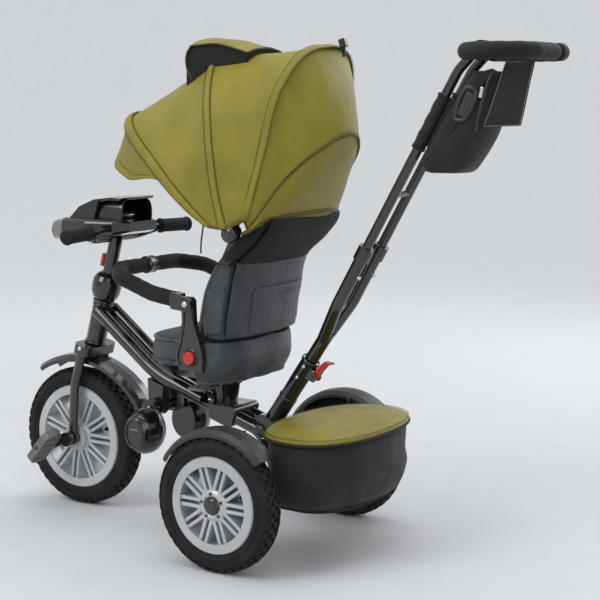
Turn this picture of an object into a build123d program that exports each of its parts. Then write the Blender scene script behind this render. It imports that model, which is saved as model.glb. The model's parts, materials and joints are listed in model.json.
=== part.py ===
from build123d import *
import math
import os

# Children's tricycle with a swivel seat, folding canopy and parent push bar.
# Millimetres, +Z up, front of the tricycle faces -Y, its left side is +X.
# The dimensions below are given with Y = 0 at the rear axle. Every piece is
# shifted by Y_SHIFT when it is saved, so that the origin is at the middle of
# the footprint, on the ground.

os.makedirs("parts", exist_ok=True)

# ---------------------------------------------------------------- dimensions
Y_SHIFT = 62.9

REAR_R = 127.5            # rear tyre radius, 10 inch wheel
REAR_HW = 23.7            # rear tyre half width
REAR_RIM_R = 88.0
REAR_TRACK = 226.1        # wheel middle plane from the centre line
FRONT_R = 146.5           # front tyre radius, 12 inch wheel
FRONT_HW = 24.6
FRONT_RIM_R = 107.0
FRONT_Y = -518.8          # front axle
AXLE_R = 6.0
AXLE_Z = REAR_R
HOUSING = REAR_TRACK - 20.4  # half length of the axle housing

RAKE = 15.1               # steering axis leans back, degrees
HEAD = (0, -471.0, 396.5) # middle of the head tube
HEAD_LEN = 92.0
HEAD_R = 21.0
STEER_R = 12.5            # steerer tube radius

TUBE_R = 14.0             # main frame tubes
TUBE_X = 24.0
SEAT_AXIS_Y = -146.0      # swivel axis of the seat
PIVOT_Y, PIVOT_Z = -125.0, 372.5      # recline axis
BAR_Y, BAR_Z = -133.0, 475.0          # bumper bar axis
CAN_Y, CAN_Z = -30.0, 617.0           # canopy fold axis
PUSH_X = 27.0             # push bar tubes from the centre line
RING_Y, RING_Z = 463.5, 941.0         # handle ring centre
RING_A, RING_B = 105.0, 61.0          # ring centreline half sizes
FOAM_R = 15.0


def save(piece, label):
    made = piece.moved(Location((0, Y_SHIFT, 0)))
    made.label = label
    export_step(made, "parts/" + label + ".step")
    print(f"{label:26s} {len(made.solids())} solid(s) {made.volume/1000:9.2f} cm3")


def save_pair(piece, label):
    """The same piece on both sides, each in its own file."""
    save(piece, label + "_left")
    save(mirror(piece, about=Plane.YZ), label + "_right")


def save_both(piece, label):
    """A left and a right piece that belong to one body, as two solids of one file."""
    save(Compound([*piece.solids(), *mirror(piece, about=Plane.YZ).solids()]), label)


def yz(y, z, x=0.0):
    return Vector(x, y, z)


def along(p, q):
    """A plane at p whose normal points at q."""
    return Plane(origin=p, z_dir=(q - p).normalized())


SOCKET_TOP = Vector(0, 2, 287)
low_dir = Vector(0, 88, 130).normalized()     # lower push bar
steer_dir = Vector(0, math.sin(math.radians(RAKE)), math.cos(math.radians(RAKE)))
steer_plane = Plane(origin=HEAD, x_dir=(1, 0, 0), z_dir=steer_dir)


def on_axis(t):
    """A point on the steering axis, t up from the middle of the head tube."""
    return Vector(*HEAD) + steer_dir * t


# ------------------------------------------------------------------- wheels
def wheel_rim(r, hw, y, z, x, spokes, hub_r, hub_hw, bore):
    """One moulded wheel: hub, paired spokes and rim channel, turning about X."""
    wheel_plane = Plane(origin=(x, y, z), x_dir=(0, 1, 0), z_dir=(1, 0, 0))
    with BuildPart(mode=Mode.PRIVATE) as rim:
        with BuildSketch(Plane.XZ) as section:
            with BuildLine():
                Polyline(
                    (r - 16, -hw), (r + 1, -hw), (r + 3, -hw + 3), (r - 4, -hw + 9),
                    (r - 4, hw - 9), (r + 3, hw - 3), (r + 1, hw), (r - 16, hw),
                    (r - 13, hw - 7), (r - 13, -hw + 7), close=True,
                )
            make_face()
        revolve(axis=Axis.Z)
        with BuildSketch(Plane.XY.offset(-hub_hw)):
            Circle(hub_r)
        extrude(amount=2 * hub_hw)
        with BuildSketch(Plane.XY.offset(-hw + 4)):
            with PolarLocations(0, spokes):
                with Locations(((r + hub_r) / 2 - 5, 6.2), ((r + hub_r) / 2 - 5, -6.2)):
                    Rectangle(r - hub_r - 4, 6.0)
        extrude(amount=2 * hw - 8)
        with BuildSketch(Plane.XY.offset(-hub_hw)):
            Circle(bore)
        extrude(amount=2 * hub_hw, mode=Mode.SUBTRACT)
    return wheel_plane.location * rim.part


def wheel_tyre(r_in, r_out, hw, y, z, x):
    """A closed tyre section turned about the wheel axis."""
    wheel_plane = Plane(origin=(x, y, z), x_dir=(0, 1, 0), z_dir=(1, 0, 0))
    with BuildPart(mode=Mode.PRIVATE) as tyre:
        with BuildSketch(Plane.XZ):
            with BuildLine():
                Polyline(
                    (r_in - 3.8, -hw + 10.6), (r_in + 3.3, -hw + 4.6), (r_in + 12, -hw), (r_out - 18, -hw),
                    (r_out - 7, -hw + 4), (r_out - 1.5, -hw + 11), (r_out, -hw + 19),
                    (r_out, hw - 19), (r_out - 1.5, hw - 11), (r_out - 7, hw - 4),
                    (r_out - 18, hw), (r_in + 12, hw), (r_in + 3.3, hw - 4.6), (r_in - 3.8, hw - 10.6), close=True,
                )
            make_face()
        revolve(axis=Axis.Z)
    return wheel_plane.location * tyre.part


save_pair(wheel_rim(REAR_RIM_R, REAR_HW - 1, 0, AXLE_Z, REAR_TRACK, 10, 26, 20, 8.05), "rear_rim")
save_pair(wheel_tyre(REAR_RIM_R, REAR_R, REAR_HW, 0, AXLE_Z, REAR_TRACK), "rear_tyre")
save(wheel_rim(FRONT_RIM_R, FRONT_HW - 1, FRONT_Y, FRONT_R, 0, 11, 28, 31, 8.05), "front_rim")
save(wheel_tyre(FRONT_RIM_R, FRONT_R, FRONT_HW, FRONT_Y, FRONT_R, 0), "front_tyre")

# plain bushes on the rear axle, two per wheel
with BuildPart() as rear_bush:
    for dx in (-20, 10):
        with BuildSketch(Plane(origin=(REAR_TRACK + dx, 0, AXLE_Z), z_dir=(1, 0, 0))):
            Circle(8.0)
            Circle(AXLE_R, mode=Mode.SUBTRACT)
        extrude(amount=10)
save_both(rear_bush.part, "rear_bushes")

# hub caps close the outer end of each rear hub, with five bolt heads round them
with BuildPart() as hub_cap:
    with BuildSketch(Plane(origin=(REAR_TRACK + 20.2, 0, AXLE_Z), z_dir=(1, 0, 0))):
        Circle(17)
    extrude(amount=3.3)
    chamfer(hub_cap.faces().sort_by(Axis.X)[-1].edges(), 1.5)
save_pair(hub_cap.part, "rear_hub_cap")

# ------------------------------------------------------------ rear axle
with BuildPart() as rear_axle:
    with BuildSketch(Plane(origin=(-(REAR_TRACK + 19.5), 0, AXLE_Z), z_dir=(1, 0, 0))):
        Circle(AXLE_R)
    extrude(amount=2 * (REAR_TRACK + 19.5))
save(rear_axle.part, "rear_axle")

# ------------------------------------------------------------ main frame
with BuildPart() as main_frame:
    for side in (1, -1):
        with BuildLine() as spine:
            FilletPolyline(
                yz(-456, 422, side * TUBE_X), yz(-300, 303, side * TUBE_X),
                yz(-42, 219, side * TUBE_X), yz(-1, 134, side * TUBE_X),
                radius=[210, 55],
            )
        with BuildSketch(Plane(origin=spine.line @ 0, z_dir=spine.line % 0)):
            Circle(TUBE_R)
        sweep(path=spine.line)
    # head tube
    with BuildSketch(steer_plane.offset(-HEAD_LEN / 2)):
        Circle(HEAD_R)
    extrude(amount=HEAD_LEN)
    # axle housing across the rear
    with BuildSketch(Plane(origin=(-HOUSING, 0, AXLE_Z), z_dir=(1, 0, 0))):
        Circle(13)
    extrude(amount=2 * HOUSING)
    # seat bracket round both tubes
    with BuildSketch(Plane(origin=(-42, -127, 247), x_dir=(0, math.cos(0.31), -math.sin(0.31)), z_dir=(1, 0, 0))):
        RectangleRounded(58, 42, 8)
    extrude(amount=84)
    # push bar socket
    with BuildSketch(Plane(origin=SOCKET_TOP - low_dir * 66, z_dir=low_dir)):
        Circle(18)
    extrude(amount=66)
    # saddle that welds the socket to both tubes
    with BuildSketch(Plane.YZ.offset(-24)):
        with BuildLine():
            Polyline((-80, 226), (-28, 200), (-16, 238), (-40, 252), (-56, 248), close=True)
        make_face()
    extrude(amount=48)
    # hangers for the footrest shaft under the tubes
    for hx in (12, -36):
        with BuildSketch(Plane(origin=(hx, -296, 238), x_dir=(0, 1, 0), z_dir=(1, 0, 0))):
            with BuildLine():
                Polyline((-17, -6), (-8, -15), (8, -15), (17, -6), (19, 46), (-20, 58), close=True)
            make_face()
        extrude(amount=24)
    with BuildSketch(Plane(origin=(-60, -296, 238), z_dir=(1, 0, 0))):
        Circle(9.2)
    extrude(amount=120, mode=Mode.SUBTRACT)
    # arms that hold the basket from the axle housing
    for bx in (54, -68):
        with BuildSketch(Plane(origin=(bx, 0, AXLE_Z), x_dir=(0, 1, 0), z_dir=(1, 0, 0))):
            with BuildLine():
                Polyline((-8, -8), (8, -8), (16, -34), (34, -43), (90, -43), (90, -40), (36, -38), (20, -28), (12, 4), (-8, 4), close=True)
            make_face()
        extrude(amount=14)
    # stays that hold the rear mudguards, welded round the axle housing
    for side in (1, -1):
        with BuildLine() as bent:
            FilletPolyline(
                (side * 176, 10, 127.5), (side * 176, 30, 200), (side * 184.5, 28, 258), radius=[40],
            )
        with BuildSketch(Plane(origin=bent.line @ 0, z_dir=bent.line % 0)):
            Circle(3.2)
        sweep(path=bent.line)
        with BuildSketch(Plane(origin=(side * 176 - 8, 0, AXLE_Z), z_dir=(1, 0, 0))):
            Circle(17)
        extrude(amount=16)
    # bore of the head tube, the axle housing and the socket
    with BuildSketch(steer_plane.offset(-HEAD_LEN / 2)):
        Circle(16)
    extrude(amount=HEAD_LEN, mode=Mode.SUBTRACT)
    with BuildSketch(Plane(origin=(-HOUSING, 0, AXLE_Z), z_dir=(1, 0, 0))):
        Circle(AXLE_R + 0.05)
    extrude(amount=2 * HOUSING, mode=Mode.SUBTRACT)
    with BuildSketch(Plane(origin=SOCKET_TOP - low_dir * 44, z_dir=low_dir)):
        Circle(13.4)
    extrude(amount=50, mode=Mode.SUBTRACT)
    # flat seat for the swivel column
    with BuildSketch(Plane.XY.offset(262)):
        with Locations((0, -127)):
            Rectangle(120, 110)
    extrude(amount=30, mode=Mode.SUBTRACT)
save(main_frame.part, "main_frame")

# headset bearing rings, upper and lower, pressed in the head tube
with BuildPart() as headset:
    for t in (-HEAD_LEN / 2, HEAD_LEN / 2 - 10):
        with BuildSketch(steer_plane.offset(t)):
            Circle(16)
            Circle(STEER_R + 0.05, mode=Mode.SUBTRACT)
        extrude(amount=10)
save(headset.part, "headset_bearings")

# ------------------------------------------------------------ mudguards
def guard(r_in, thick, a0, a1, y, z, x, hw, drop):
    """An arched guard over a wheel, from angle a0 to a1, with turned-down edges."""
    frame = Plane(origin=(x, y, z), x_dir=(0, math.cos(math.radians(a0)), math.sin(math.radians(a0))), z_dir=(1, 0, 0))
    with BuildPart(mode=Mode.PRIVATE) as arch:
        with BuildSketch(Plane.XZ):
            with BuildLine():
                Polyline(
                    (r_in - drop, -hw), (r_in - 4, -hw), (r_in + thick, -hw + 9), (r_in + thick + 2, 0),
                    (r_in + thick, hw - 9), (r_in - 4, hw), (r_in - drop, hw), (r_in - drop, hw - thick),
                    (r_in - 5, hw - thick), (r_in, hw - 11), (r_in + 2, 0), (r_in, -hw + 11),
                    (r_in - 5, -hw + thick), (r_in - drop, -hw + thick), close=True,
                )
            make_face()
        revolve(axis=Axis.Z, revolution_arc=a1 - a0)
    return frame.location * arch.part


save_both(guard(136, 3, 42, 148, 0, AXLE_Z, REAR_TRACK - 8, 29, 10), "rear_mudguards")
save(guard(201.9, 3, 33, 122, -510.0, 118.2, 0, 30, 12), "front_mudguard")

# ------------------------------------------------------------ brake pedals
with BuildPart() as brake:
    with BuildSketch(Plane(origin=(140, 0, AXLE_Z), z_dir=(1, 0, 0))):
        Circle(17)
        Circle(13.3, mode=Mode.SUBTRACT)
    extrude(amount=16)
    with BuildSketch(Plane(origin=(140, 0, AXLE_Z), x_dir=(0, 1, 0), z_dir=(1, 0, 0))):
        with BuildLine():
            Polyline((-14, -8), (-17, -16), (-50, -26), (-52, -20), (-16, -2), close=True)
        make_face()
    extrude(amount=16)
    with BuildSketch(Plane(origin=(140, 0, AXLE_Z), x_dir=(0, 1, 0), z_dir=(1, 0, 0))):
        Circle(13.3)
    extrude(amount=16, mode=Mode.SUBTRACT)
save_both(brake.part, "brake_pedals")

# ------------------------------------------------------------ fork and stem
with BuildPart() as fork:
    with BuildSketch(steer_plane.offset(-HEAD_LEN / 2 - 26)):
        Circle(STEER_R)
    extrude(amount=HEAD_LEN + 26 + 26)
    # crown plate under the head tube
    with BuildSketch(steer_plane.offset(-HEAD_LEN / 2 - 24)):
        RectangleRounded(98, 44, 16)
    extrude(amount=20)
    for side in (1, -1):
        with BuildLine() as leg:
            FilletPolyline(
                Vector(side * 38, *[on_axis(-66).Y, on_axis(-66).Z]),
                (side * 38, -510, 262), (side * 38, FRONT_Y, FRONT_R), radius=[160],
            )
        with BuildSketch(Plane(origin=leg.line @ 0, x_dir=(1, 0, 0), z_dir=leg.line % 0)):
            Ellipse(7, 11)
        sweep(path=leg.line)
        with BuildSketch(Plane(origin=(side * 38 - 6, FRONT_Y, FRONT_R), z_dir=(1, 0, 0))):
            Circle(15)
        extrude(amount=12)
    # axle holes in both drop-outs
    with BuildSketch(Plane(origin=(-60, FRONT_Y, FRONT_R), z_dir=(1, 0, 0))):
        Circle(8.1)
    extrude(amount=120, mode=Mode.SUBTRACT)
    # socket for the handlebar stem
    with BuildSketch(steer_plane.offset(-HEAD_LEN / 2)):
        Circle(9.1)
    extrude(amount=HEAD_LEN + 30, mode=Mode.SUBTRACT)
save(fork.part, "fork")

# ball-shaped shroud over the steering joint
with BuildPart() as shroud:
    with BuildSketch(Plane(origin=on_axis(80), x_dir=(1, 0, 0), z_dir=Vector(0, -math.cos(math.radians(RAKE)), math.sin(math.radians(RAKE))))):
        with BuildLine():
            Polyline((STEER_R + 0.1, -31), (21, -31), (26.5, -24), (30, -14), (31, 0), (30, 12), (25, 21), (18, 27), (STEER_R + 0.1, 27), close=True)
        make_face()
    revolve(axis=Axis(on_axis(80), steer_dir))
    with BuildSketch(steer_plane.offset(70)):
        Circle(STEER_R + 0.1)
    extrude(amount=60, mode=Mode.SUBTRACT)
save(shroud.part, "steering_shroud")

# ------------------------------------------------- front wheel drive
CRANK = 36.0
CRANK_A = math.radians(-160)   # near pedal low at the front
ca, sa = math.cos(CRANK_A), math.sin(CRANK_A)
with BuildPart() as crank_axle:
    with BuildSketch(Plane(origin=(-62, FRONT_Y, FRONT_R), z_dir=(1, 0, 0))):
        Circle(8.0)
    extrude(amount=124)
    for side in (1, -1):
        with BuildSketch(Plane(origin=(side * 56 - 6, FRONT_Y, FRONT_R), x_dir=(0, 1, 0), z_dir=(1, 0, 0))):
            Circle(15)
            with Locations((side * CRANK / 2 * ca, side * CRANK / 2 * sa)):
                Rectangle(CRANK, 13, rotation=math.degrees(CRANK_A))
            with Locations((side * CRANK * ca, side * CRANK * sa)):
                Circle(10)
        extrude(amount=12)
        pin = Vector(side * 60, FRONT_Y + side * CRANK * ca, FRONT_R + side * CRANK * sa)
        with BuildSketch(Plane(origin=pin, z_dir=(side, 0, 0))):
            Circle(5)
        extrude(amount=54)
save(crank_axle.part, "crank_axle")


def pedal(side):
    """A half-round pedal with a holed tread plate, bored for its pin."""
    cy, cz = FRONT_Y + side * CRANK * ca, FRONT_R + side * CRANK * sa
    tilt = math.radians(50)
    flat = Plane(origin=(side * 89, cy, cz), x_dir=(1, 0, 0), z_dir=(0, -math.sin(tilt), math.cos(tilt)))
    with BuildPart(mode=Mode.PRIVATE) as made:
        with BuildSketch(flat.offset(-8)):
            with BuildLine():
                Polyline((-25, -30), (-18, -40), (0, -45), (18, -40), (25, -30), (25, 30), (18, 40), (0, 45), (-18, 40), (-25, 30), close=True)
            make_face()
            with GridLocations(11, 19, 4, 4):
                Circle(3.4, mode=Mode.SUBTRACT)
        extrude(amount=16)
        with BuildSketch(Plane(origin=(side * 89 - 25, cy, cz), z_dir=(1, 0, 0))):
            Circle(9)
        extrude(amount=50)
        with BuildSketch(Plane(origin=(side * 89 - 30, cy, cz), z_dir=(1, 0, 0))):
            Circle(5.05)
        extrude(amount=60, mode=Mode.SUBTRACT)
    return made.part


save(pedal(1), "pedal_left")
save(pedal(-1), "pedal_right")

# ------------------------------------------------- stem, handlebar, console
with BuildPart() as stem:
    with BuildSketch(steer_plane.offset(10)):
        Circle(9.0)
    extrude(amount=72)
    with BuildSketch(steer_plane.offset(107.5)):
        Circle(14)
    extrude(amount=78)
    with BuildSketch(steer_plane.offset(20)):
        Circle(9.0)
    extrude(amount=90)
    # cross tube of the handlebar
    with BuildLine() as bar:
        FilletPolyline(
            (186, -388, 591), (118, -398, 592), (70, -432, 574), (-70, -432, 574), (-118, -398, 592), (-186, -388, 591),
            radius=[55, 50, 50, 55],
        )
    with BuildSketch(Plane(origin=bar.line @ 0, z_dir=bar.line % 0)):
        Circle(9)
    sweep(path=bar.line)
save(stem.part, "handlebar")

with BuildPart() as grip:
    with BuildSketch(along(Vector(191, -387.3, 591), Vector(118, -398, 592))):
        Circle(14)
    extrude(amount=57)
    grip_start, grip_end = Vector(186, -388, 591), Vector(118, -398, 592)
    with BuildSketch(along(grip_start, grip_end)):
        Circle(9.05)
    extrude(amount=80, mode=Mode.SUBTRACT)
save_both(grip.part, "grips")

# red height latch on the stem
LATCH = on_axis(125)
with BuildPart() as latch:
    with BuildSketch(steer_plane.offset(116)):
        with Locations((0, -20)):
            RectangleRounded(13, 8, 2)
    extrude(amount=26)
save(latch.part, "stem_latch")

# console: tray, hood, lens and dial panel
def loft_console(sections):
    with BuildPart(mode=Mode.PRIVATE) as body:
        for y, z0, z1, w in sections:
            with BuildSketch(Plane(origin=(0, y, (z0 + z1) / 2), x_dir=(1, 0, 0), z_dir=(0, -1, 0))):
                RectangleRounded(2 * w, z1 - z0, min(w, (z1 - z0) / 2) * 0.62)
        loft(ruled=True)
    return body.part


console_outer = loft_console([(-352, 592, 612, 44), (-380, 584, 616, 66), (-440, 574, 618, 80), (-510, 568, 616, 70), (-562, 566, 606, 40)])
with BuildPart() as console:
    add(console_outer)
    with BuildSketch(steer_plane.offset(100)):
        Circle(14.3)
    extrude(amount=90, mode=Mode.SUBTRACT)
    with BuildLine() as bar2:
        FilletPolyline(
            (186, -388, 591), (118, -398, 592), (70, -432, 574), (-70, -432, 574), (-118, -398, 592), (-186, -388, 591),
            radius=[55, 50, 50, 55],
        )
    with BuildSketch(Plane(origin=bar2.line @ 0, z_dir=bar2.line % 0)):
        Circle(9.3)
    sweep(path=bar2.line, mode=Mode.SUBTRACT)
    # hood over the dials, with a cheek each side
    with BuildSketch(Plane.YZ.offset(-58)):
        with BuildLine():
            Polyline((-500, 612), (-470, 640), (-430, 656), (-391, 661), (-370, 660), (-372, 655), (-395, 655), (-432, 649), (-468, 633), (-486, 612), close=True)
        make_face()
    extrude(amount=116)
    with BuildSketch(Plane.YZ.offset(-61)):
        with BuildLine():
            Polyline((-500, 612), (-470, 640), (-430, 656), (-418, 657.2), (-432, 612), close=True)
        make_face()
    extrude(amount=6)
    with BuildSketch(Plane.YZ.offset(55)):
        with BuildLine():
            Polyline((-500, 612), (-470, 640), (-430, 656), (-418, 657.2), (-432, 612), close=True)
        make_face()
    extrude(amount=6)
save(console.part, "console_body")

with BuildPart() as lens:
    for y, a, b in ((-562.2, 34, 17), (-572, 30, 15), (-580, 20, 10)):
        with BuildSketch(Plane(origin=(0, y, 586), x_dir=(1, 0, 0), z_dir=(0, -1, 0))):
            Ellipse(a, b)
    loft()
save(lens.part, "headlamp_lens")

with BuildPart() as dial:
    with BuildSketch(Plane.XY.offset(618.3)):
        with Locations((0, -420)):
            Ellipse(44, 34)
    extrude(amount=4)
    with BuildSketch(Plane.XY.offset(615)):
        with Locations((-18, -412), (18, -412)):
            Circle(8.4)
    extrude(amount=10, mode=Mode.SUBTRACT)
save(dial.part, "dial_panel")

for name, bx, by in (("melody_button_left", 18, -412), ("melody_button_right", -18, -412)):
    with BuildPart() as button:
        with BuildSketch(Plane.XY.offset(620.6)):
            with Locations((bx, by)):
                Circle(8)
        extrude(amount=5)
        chamfer(button.faces().sort_by(Axis.Z)[-1].edges(), 1)
    save(button.part, name)

# ------------------------------------------------------------ footrests
FOOT_Y, FOOT_Z = -296.0, 238.0
with BuildPart() as foot_cup:
    with BuildSketch(Plane(origin=(46, FOOT_Y, FOOT_Z), z_dir=(1, 0, 0))):
        Circle(19)
        Circle(9.1, mode=Mode.SUBTRACT)
    extrude(amount=13)
    # egg-shaped cup below and beside the hub
    for x, a, b in ((48, 30, 38), (66, 38, 46), (92, 36, 44), (112, 22, 30)):
        with BuildSketch(Plane(origin=(x, -290, 198), x_dir=(0, 1, 0), z_dir=(1, 0, 0))):
            Ellipse(a, b)
    loft()
    with BuildSketch(Plane(origin=(40, FOOT_Y, FOOT_Z), z_dir=(1, 0, 0))):
        Circle(9.1)
    extrude(amount=19.2, mode=Mode.SUBTRACT)
with BuildPart() as footrests:
    add(foot_cup.part)
    add(mirror(foot_cup.part, about=Plane.YZ))
    with BuildSketch(Plane(origin=(-58, FOOT_Y, FOOT_Z), z_dir=(1, 0, 0))):
        Circle(9.1)
    extrude(amount=116)
save(footrests.part, "footrests")

# ------------------------------------------------------------ seat
with BuildPart() as column:
    with BuildSketch(Plane.XY.offset(262.1)):
        with Locations((0, SEAT_AXIS_Y)):
            Circle(24)
    extrude(amount=40, taper=-8)
    with BuildSketch(Plane.XY.offset(302.1)):
        with Locations((0, SEAT_AXIS_Y)):
            Circle(34)
    extrude(amount=12)
    with BuildSketch(Plane.XY.offset(314.1)):
        with Locations((0, SEAT_AXIS_Y)):
            Circle(14)
    extrude(amount=18)
save(column.part, "seat_column")

with BuildPart() as lever:
    with BuildSketch(Plane.XY.offset(293)):
        with Locations((54, -166)):
            RectangleRounded(46, 40, 8)
    extrude(amount=5)
    with BuildSketch(Plane.XY.offset(293)):
        with Locations((54, -166)):
            Rectangle(12, 22)
    extrude(amount=5, mode=Mode.SUBTRACT)
    # round nose of the lever, on its hinge line
    with Locations((31, -166, 295.5)):
        Box(6, 60, 10, mode=Mode.SUBTRACT)
    with Locations(Location((34, -166, 295.5), (90, 0, 0))):
        Cylinder(2.5, 30)
save(lever.part, "swivel_lever")

with BuildPart() as seat_shell:
    with BuildSketch(Plane.XY.offset(323.5)):
        with Locations((0, -148)):
            RectangleRounded(190, 160, 40)
    with BuildSketch(Plane.XY.offset(350)):
        with Locations((0, -150)):
            RectangleRounded(256, 196, 60)
    loft(ruled=True)
    with BuildSketch(Plane.XY.offset(350)):
        with Locations((0, -150)):
            RectangleRounded(256, 196, 60)
    extrude(amount=14)
    # turntable flange under the shell, bored for the column
    with BuildSketch(Plane.XY.offset(314.4)):
        with Locations((0, SEAT_AXIS_Y)):
            Circle(62)
    extrude(amount=10)
    with BuildSketch(Plane.XY.offset(314)):
        with Locations((0, SEAT_AXIS_Y)):
            Circle(14.06)
    extrude(amount=18.4, mode=Mode.SUBTRACT)
save(seat_shell.part, "seat_shell")

with BuildPart() as cushion:
    with BuildSketch(Plane.XY.offset(364.2)):
        with Locations((0, -176)):
            RectangleRounded(244, 144, 50)
    extrude(amount=43.8)
    fillet(cushion.faces().sort_by(Axis.Z)[-1].edges(), 14)
save(cushion.part, "seat_cushion")

# side arms that carry the bumper bar, with the recline hub at their foot
with BuildPart() as arm:
    with BuildSketch(Plane(origin=(131.5, 0, 0), x_dir=(0, 1, 0), z_dir=(1, 0, 0))):
        with BuildLine():
            Polyline(
                (-152, 346), (-98, 346), (-94, 366), (-102, 400), (-117, 440), (-119, 482), (-125, 488), (-141, 488),
                (-147, 482), (-145, 440), (-155, 396), (-159, 368), close=True,
            )
        make_face()
        with Locations((PIVOT_Y, PIVOT_Z)):
            Circle(13.2, mode=Mode.SUBTRACT)
        with Locations((BAR_Y, BAR_Z)):
            Circle(6.1, mode=Mode.SUBTRACT)
    extrude(amount=12)
    # foot joined to the side of the seat shell
    with BuildSketch(Plane(origin=(128.02, 0, 0), x_dir=(0, 1, 0), z_dir=(1, 0, 0))):
        with Locations((-124, 356)):
            Rectangle(50, 4)
    extrude(amount=3.6)
save_both(arm.part, "seat_arms")

with BuildPart() as release:
    with BuildSketch(Plane(origin=(143.8, PIVOT_Y, PIVOT_Z), z_dir=(1, 0, 0))):
        Circle(12.5)
    extrude(amount=8)
    fillet(release.faces().sort_by(Axis.X)[-1].edges(), 1.5)
save_pair(release.part, "recline_button")

# ------------------------------------------------------------ bumper bar
BR = 14.5


def bumper_path(x_sign):
    return [
        (x_sign * 134, -166, 480), (x_sign * 138, -222, 489), (x_sign * 138, -300, 515), (x_sign * 94, -338, 524),
    ]


with BuildPart() as bumper:
    with BuildLine() as u_path:
        FilletPolyline(*bumper_path(1), *reversed(bumper_path(-1)), radius=[70, 32, 40, 40, 32, 70])
    with BuildSketch(Plane(origin=u_path.line @ 0, z_dir=u_path.line % 0)):
        Circle(BR)
    sweep(path=u_path.line)
    with BuildSketch(Plane(origin=(-14, -338, 524), z_dir=(1, 0, 0))):
        Circle(18)
    extrude(amount=28, mode=Mode.SUBTRACT)
save(bumper.part, "bumper_foam")

with BuildPart() as coupling:
    with BuildSketch(Plane(origin=(-13.8, -338, 524), z_dir=(1, 0, 0))):
        Circle(16.5)
    extrude(amount=27.6)
    chamfer(coupling.edges().filter_by(GeomType.CIRCLE), 2)

with BuildPart() as knuckle:
    # cheek outside the arm, its pin through the arm, and the cup that takes the bar
    with BuildSketch(Plane(origin=(143.8, 0, 0), x_dir=(0, 1, 0), z_dir=(1, 0, 0))):
        with BuildLine():
            Polyline((-133, 489), (-120, 483), (-119, 467), (-133, 461), (-166, 464), (-170, 478), (-168, 493), close=True)
        make_face()
    extrude(amount=7)
    with BuildSketch(Plane(origin=(131.8, BAR_Y, BAR_Z), z_dir=(1, 0, 0))):
        Circle(6)
    extrude(amount=14)
    with BuildSketch(Plane(origin=(122, 0, 0), x_dir=(0, 1, 0), z_dir=(1, 0, 0))):
        with BuildLine():
            Polyline((-152, 492), (-151, 464), (-166, 464), (-170, 478), (-168, 495), close=True)
        make_face()
    extrude(amount=24)
    with BuildLine() as u_cut:
        FilletPolyline(*bumper_path(1), radius=[70, 32])
    with BuildSketch(Plane(origin=u_cut.line @ 0, z_dir=u_cut.line % 0)):
        Circle(BR + 0.1)
    sweep(path=u_cut.line, mode=Mode.SUBTRACT)
save(Compound([*coupling.part.solids(), *knuckle.part.solids(), *mirror(knuckle.part, about=Plane.YZ).solids()]), "bumper_fittings")

# ------------------------------------------------------------ backrest
def side_profile(points, x0, x1):
    with BuildPart(mode=Mode.PRIVATE) as made:
        with BuildSketch(Plane.YZ.offset(x0)):
            with BuildLine():
                Polyline(*points, close=True)
            make_face()
        extrude(amount=x1 - x0)
    return made.part


back_outline = [(-114, 412), (-97, 499), (-70, 551), (-40, 553), (-52, 509), (-62, 450), (-68, 412)]
mesh_outline = [(-70, 553.4), (-20, 601), (18, 640), (46, 642), (34, 630), (2, 592), (-26, 570), (-40, 554.4)]
# steel straps outside the cover, from the recline hub up to the canopy pivot
strap_outline = [
    (-136, 363), (-125, 359), (-114, 363), (-104, 395), (-86, 440), (-74, 500), (-50, 545), (-24, 585), (-18, 612),
    (-22, 625), (-30, 629), (-38, 625), (-41, 612), (-44, 598), (-66, 554), (-90, 500), (-102, 448), (-128, 390), (-139, 376),
]

with BuildPart() as back_cover:
    add(side_profile(back_outline, -128, 128))
    add(side_profile([(-150, 400), (-150, 560), (-58, 555), (-76, 505), (-88, 455), (-94, 400)], -100, 100), mode=Mode.SUBTRACT)
save(back_cover.part, "back_cover")

with BuildPart() as back_mesh:
    add(side_profile(mesh_outline, -128, 128))
    add(side_profile([(-120, 540), (-120, 720), (34, 720), (28, 639), (-9, 598), (-58, 550)], -100, 100), mode=Mode.SUBTRACT)
save(back_mesh.part, "back_mesh_panel")

# moulded plate behind the cover
with BuildPart() as back_plate:
    add(side_profile([
        (-67, 412), (-61, 450), (-51, 509), (-39, 552.5), (-25, 568.4), (3.4, 590.4), (35.6, 628.4),
        (41, 623.6), (9, 585), (-20, 562), (-31.5, 549), (-43, 507), (-53, 449), (-59, 412),
    ], -60, 60))

with BuildPart() as strap:
    add(side_profile(strap_outline, 128.3, 131.2))
    # recline hub in the arm, and the pin the canopy folds on
    with BuildSketch(Plane(origin=(131, PIVOT_Y, PIVOT_Z), z_dir=(1, 0, 0))):
        Circle(13.1)
    extrude(amount=9)
    with BuildSketch(Plane(origin=(131, CAN_Y, CAN_Z), z_dir=(1, 0, 0))):
        Circle(6)
    extrude(amount=10.9)
save(Compound([*back_plate.part.solids(), *strap.part.solids(), *mirror(strap.part, about=Plane.YZ).solids()]), "back_frame")

# shoulder straps of the harness, lying on the backrest
with BuildPart() as harness:
    for side in (1, -1):
        add(side_profile([(-95.5, 440), (-91.5, 440), (-79, 505), (-83, 505)], side * 45 - 16, side * 45 + 16))
save(harness.part, "harness")

# ------------------------------------------------------------ canopy
# bow arches: angle from the front, radius in the middle, half width, squareness
ARCHES = [(17.8, 383, 149, 2.3), (32.1, 392, 161, 2.0), (70.3, 349, 158.5, 1.8), (109.2, 354, 141, 3.5), (133.1, 261, 136, 1.8), (155.0, 140, 146, 2.0)]
STEPS = 18
SKIN = 4.0


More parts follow.
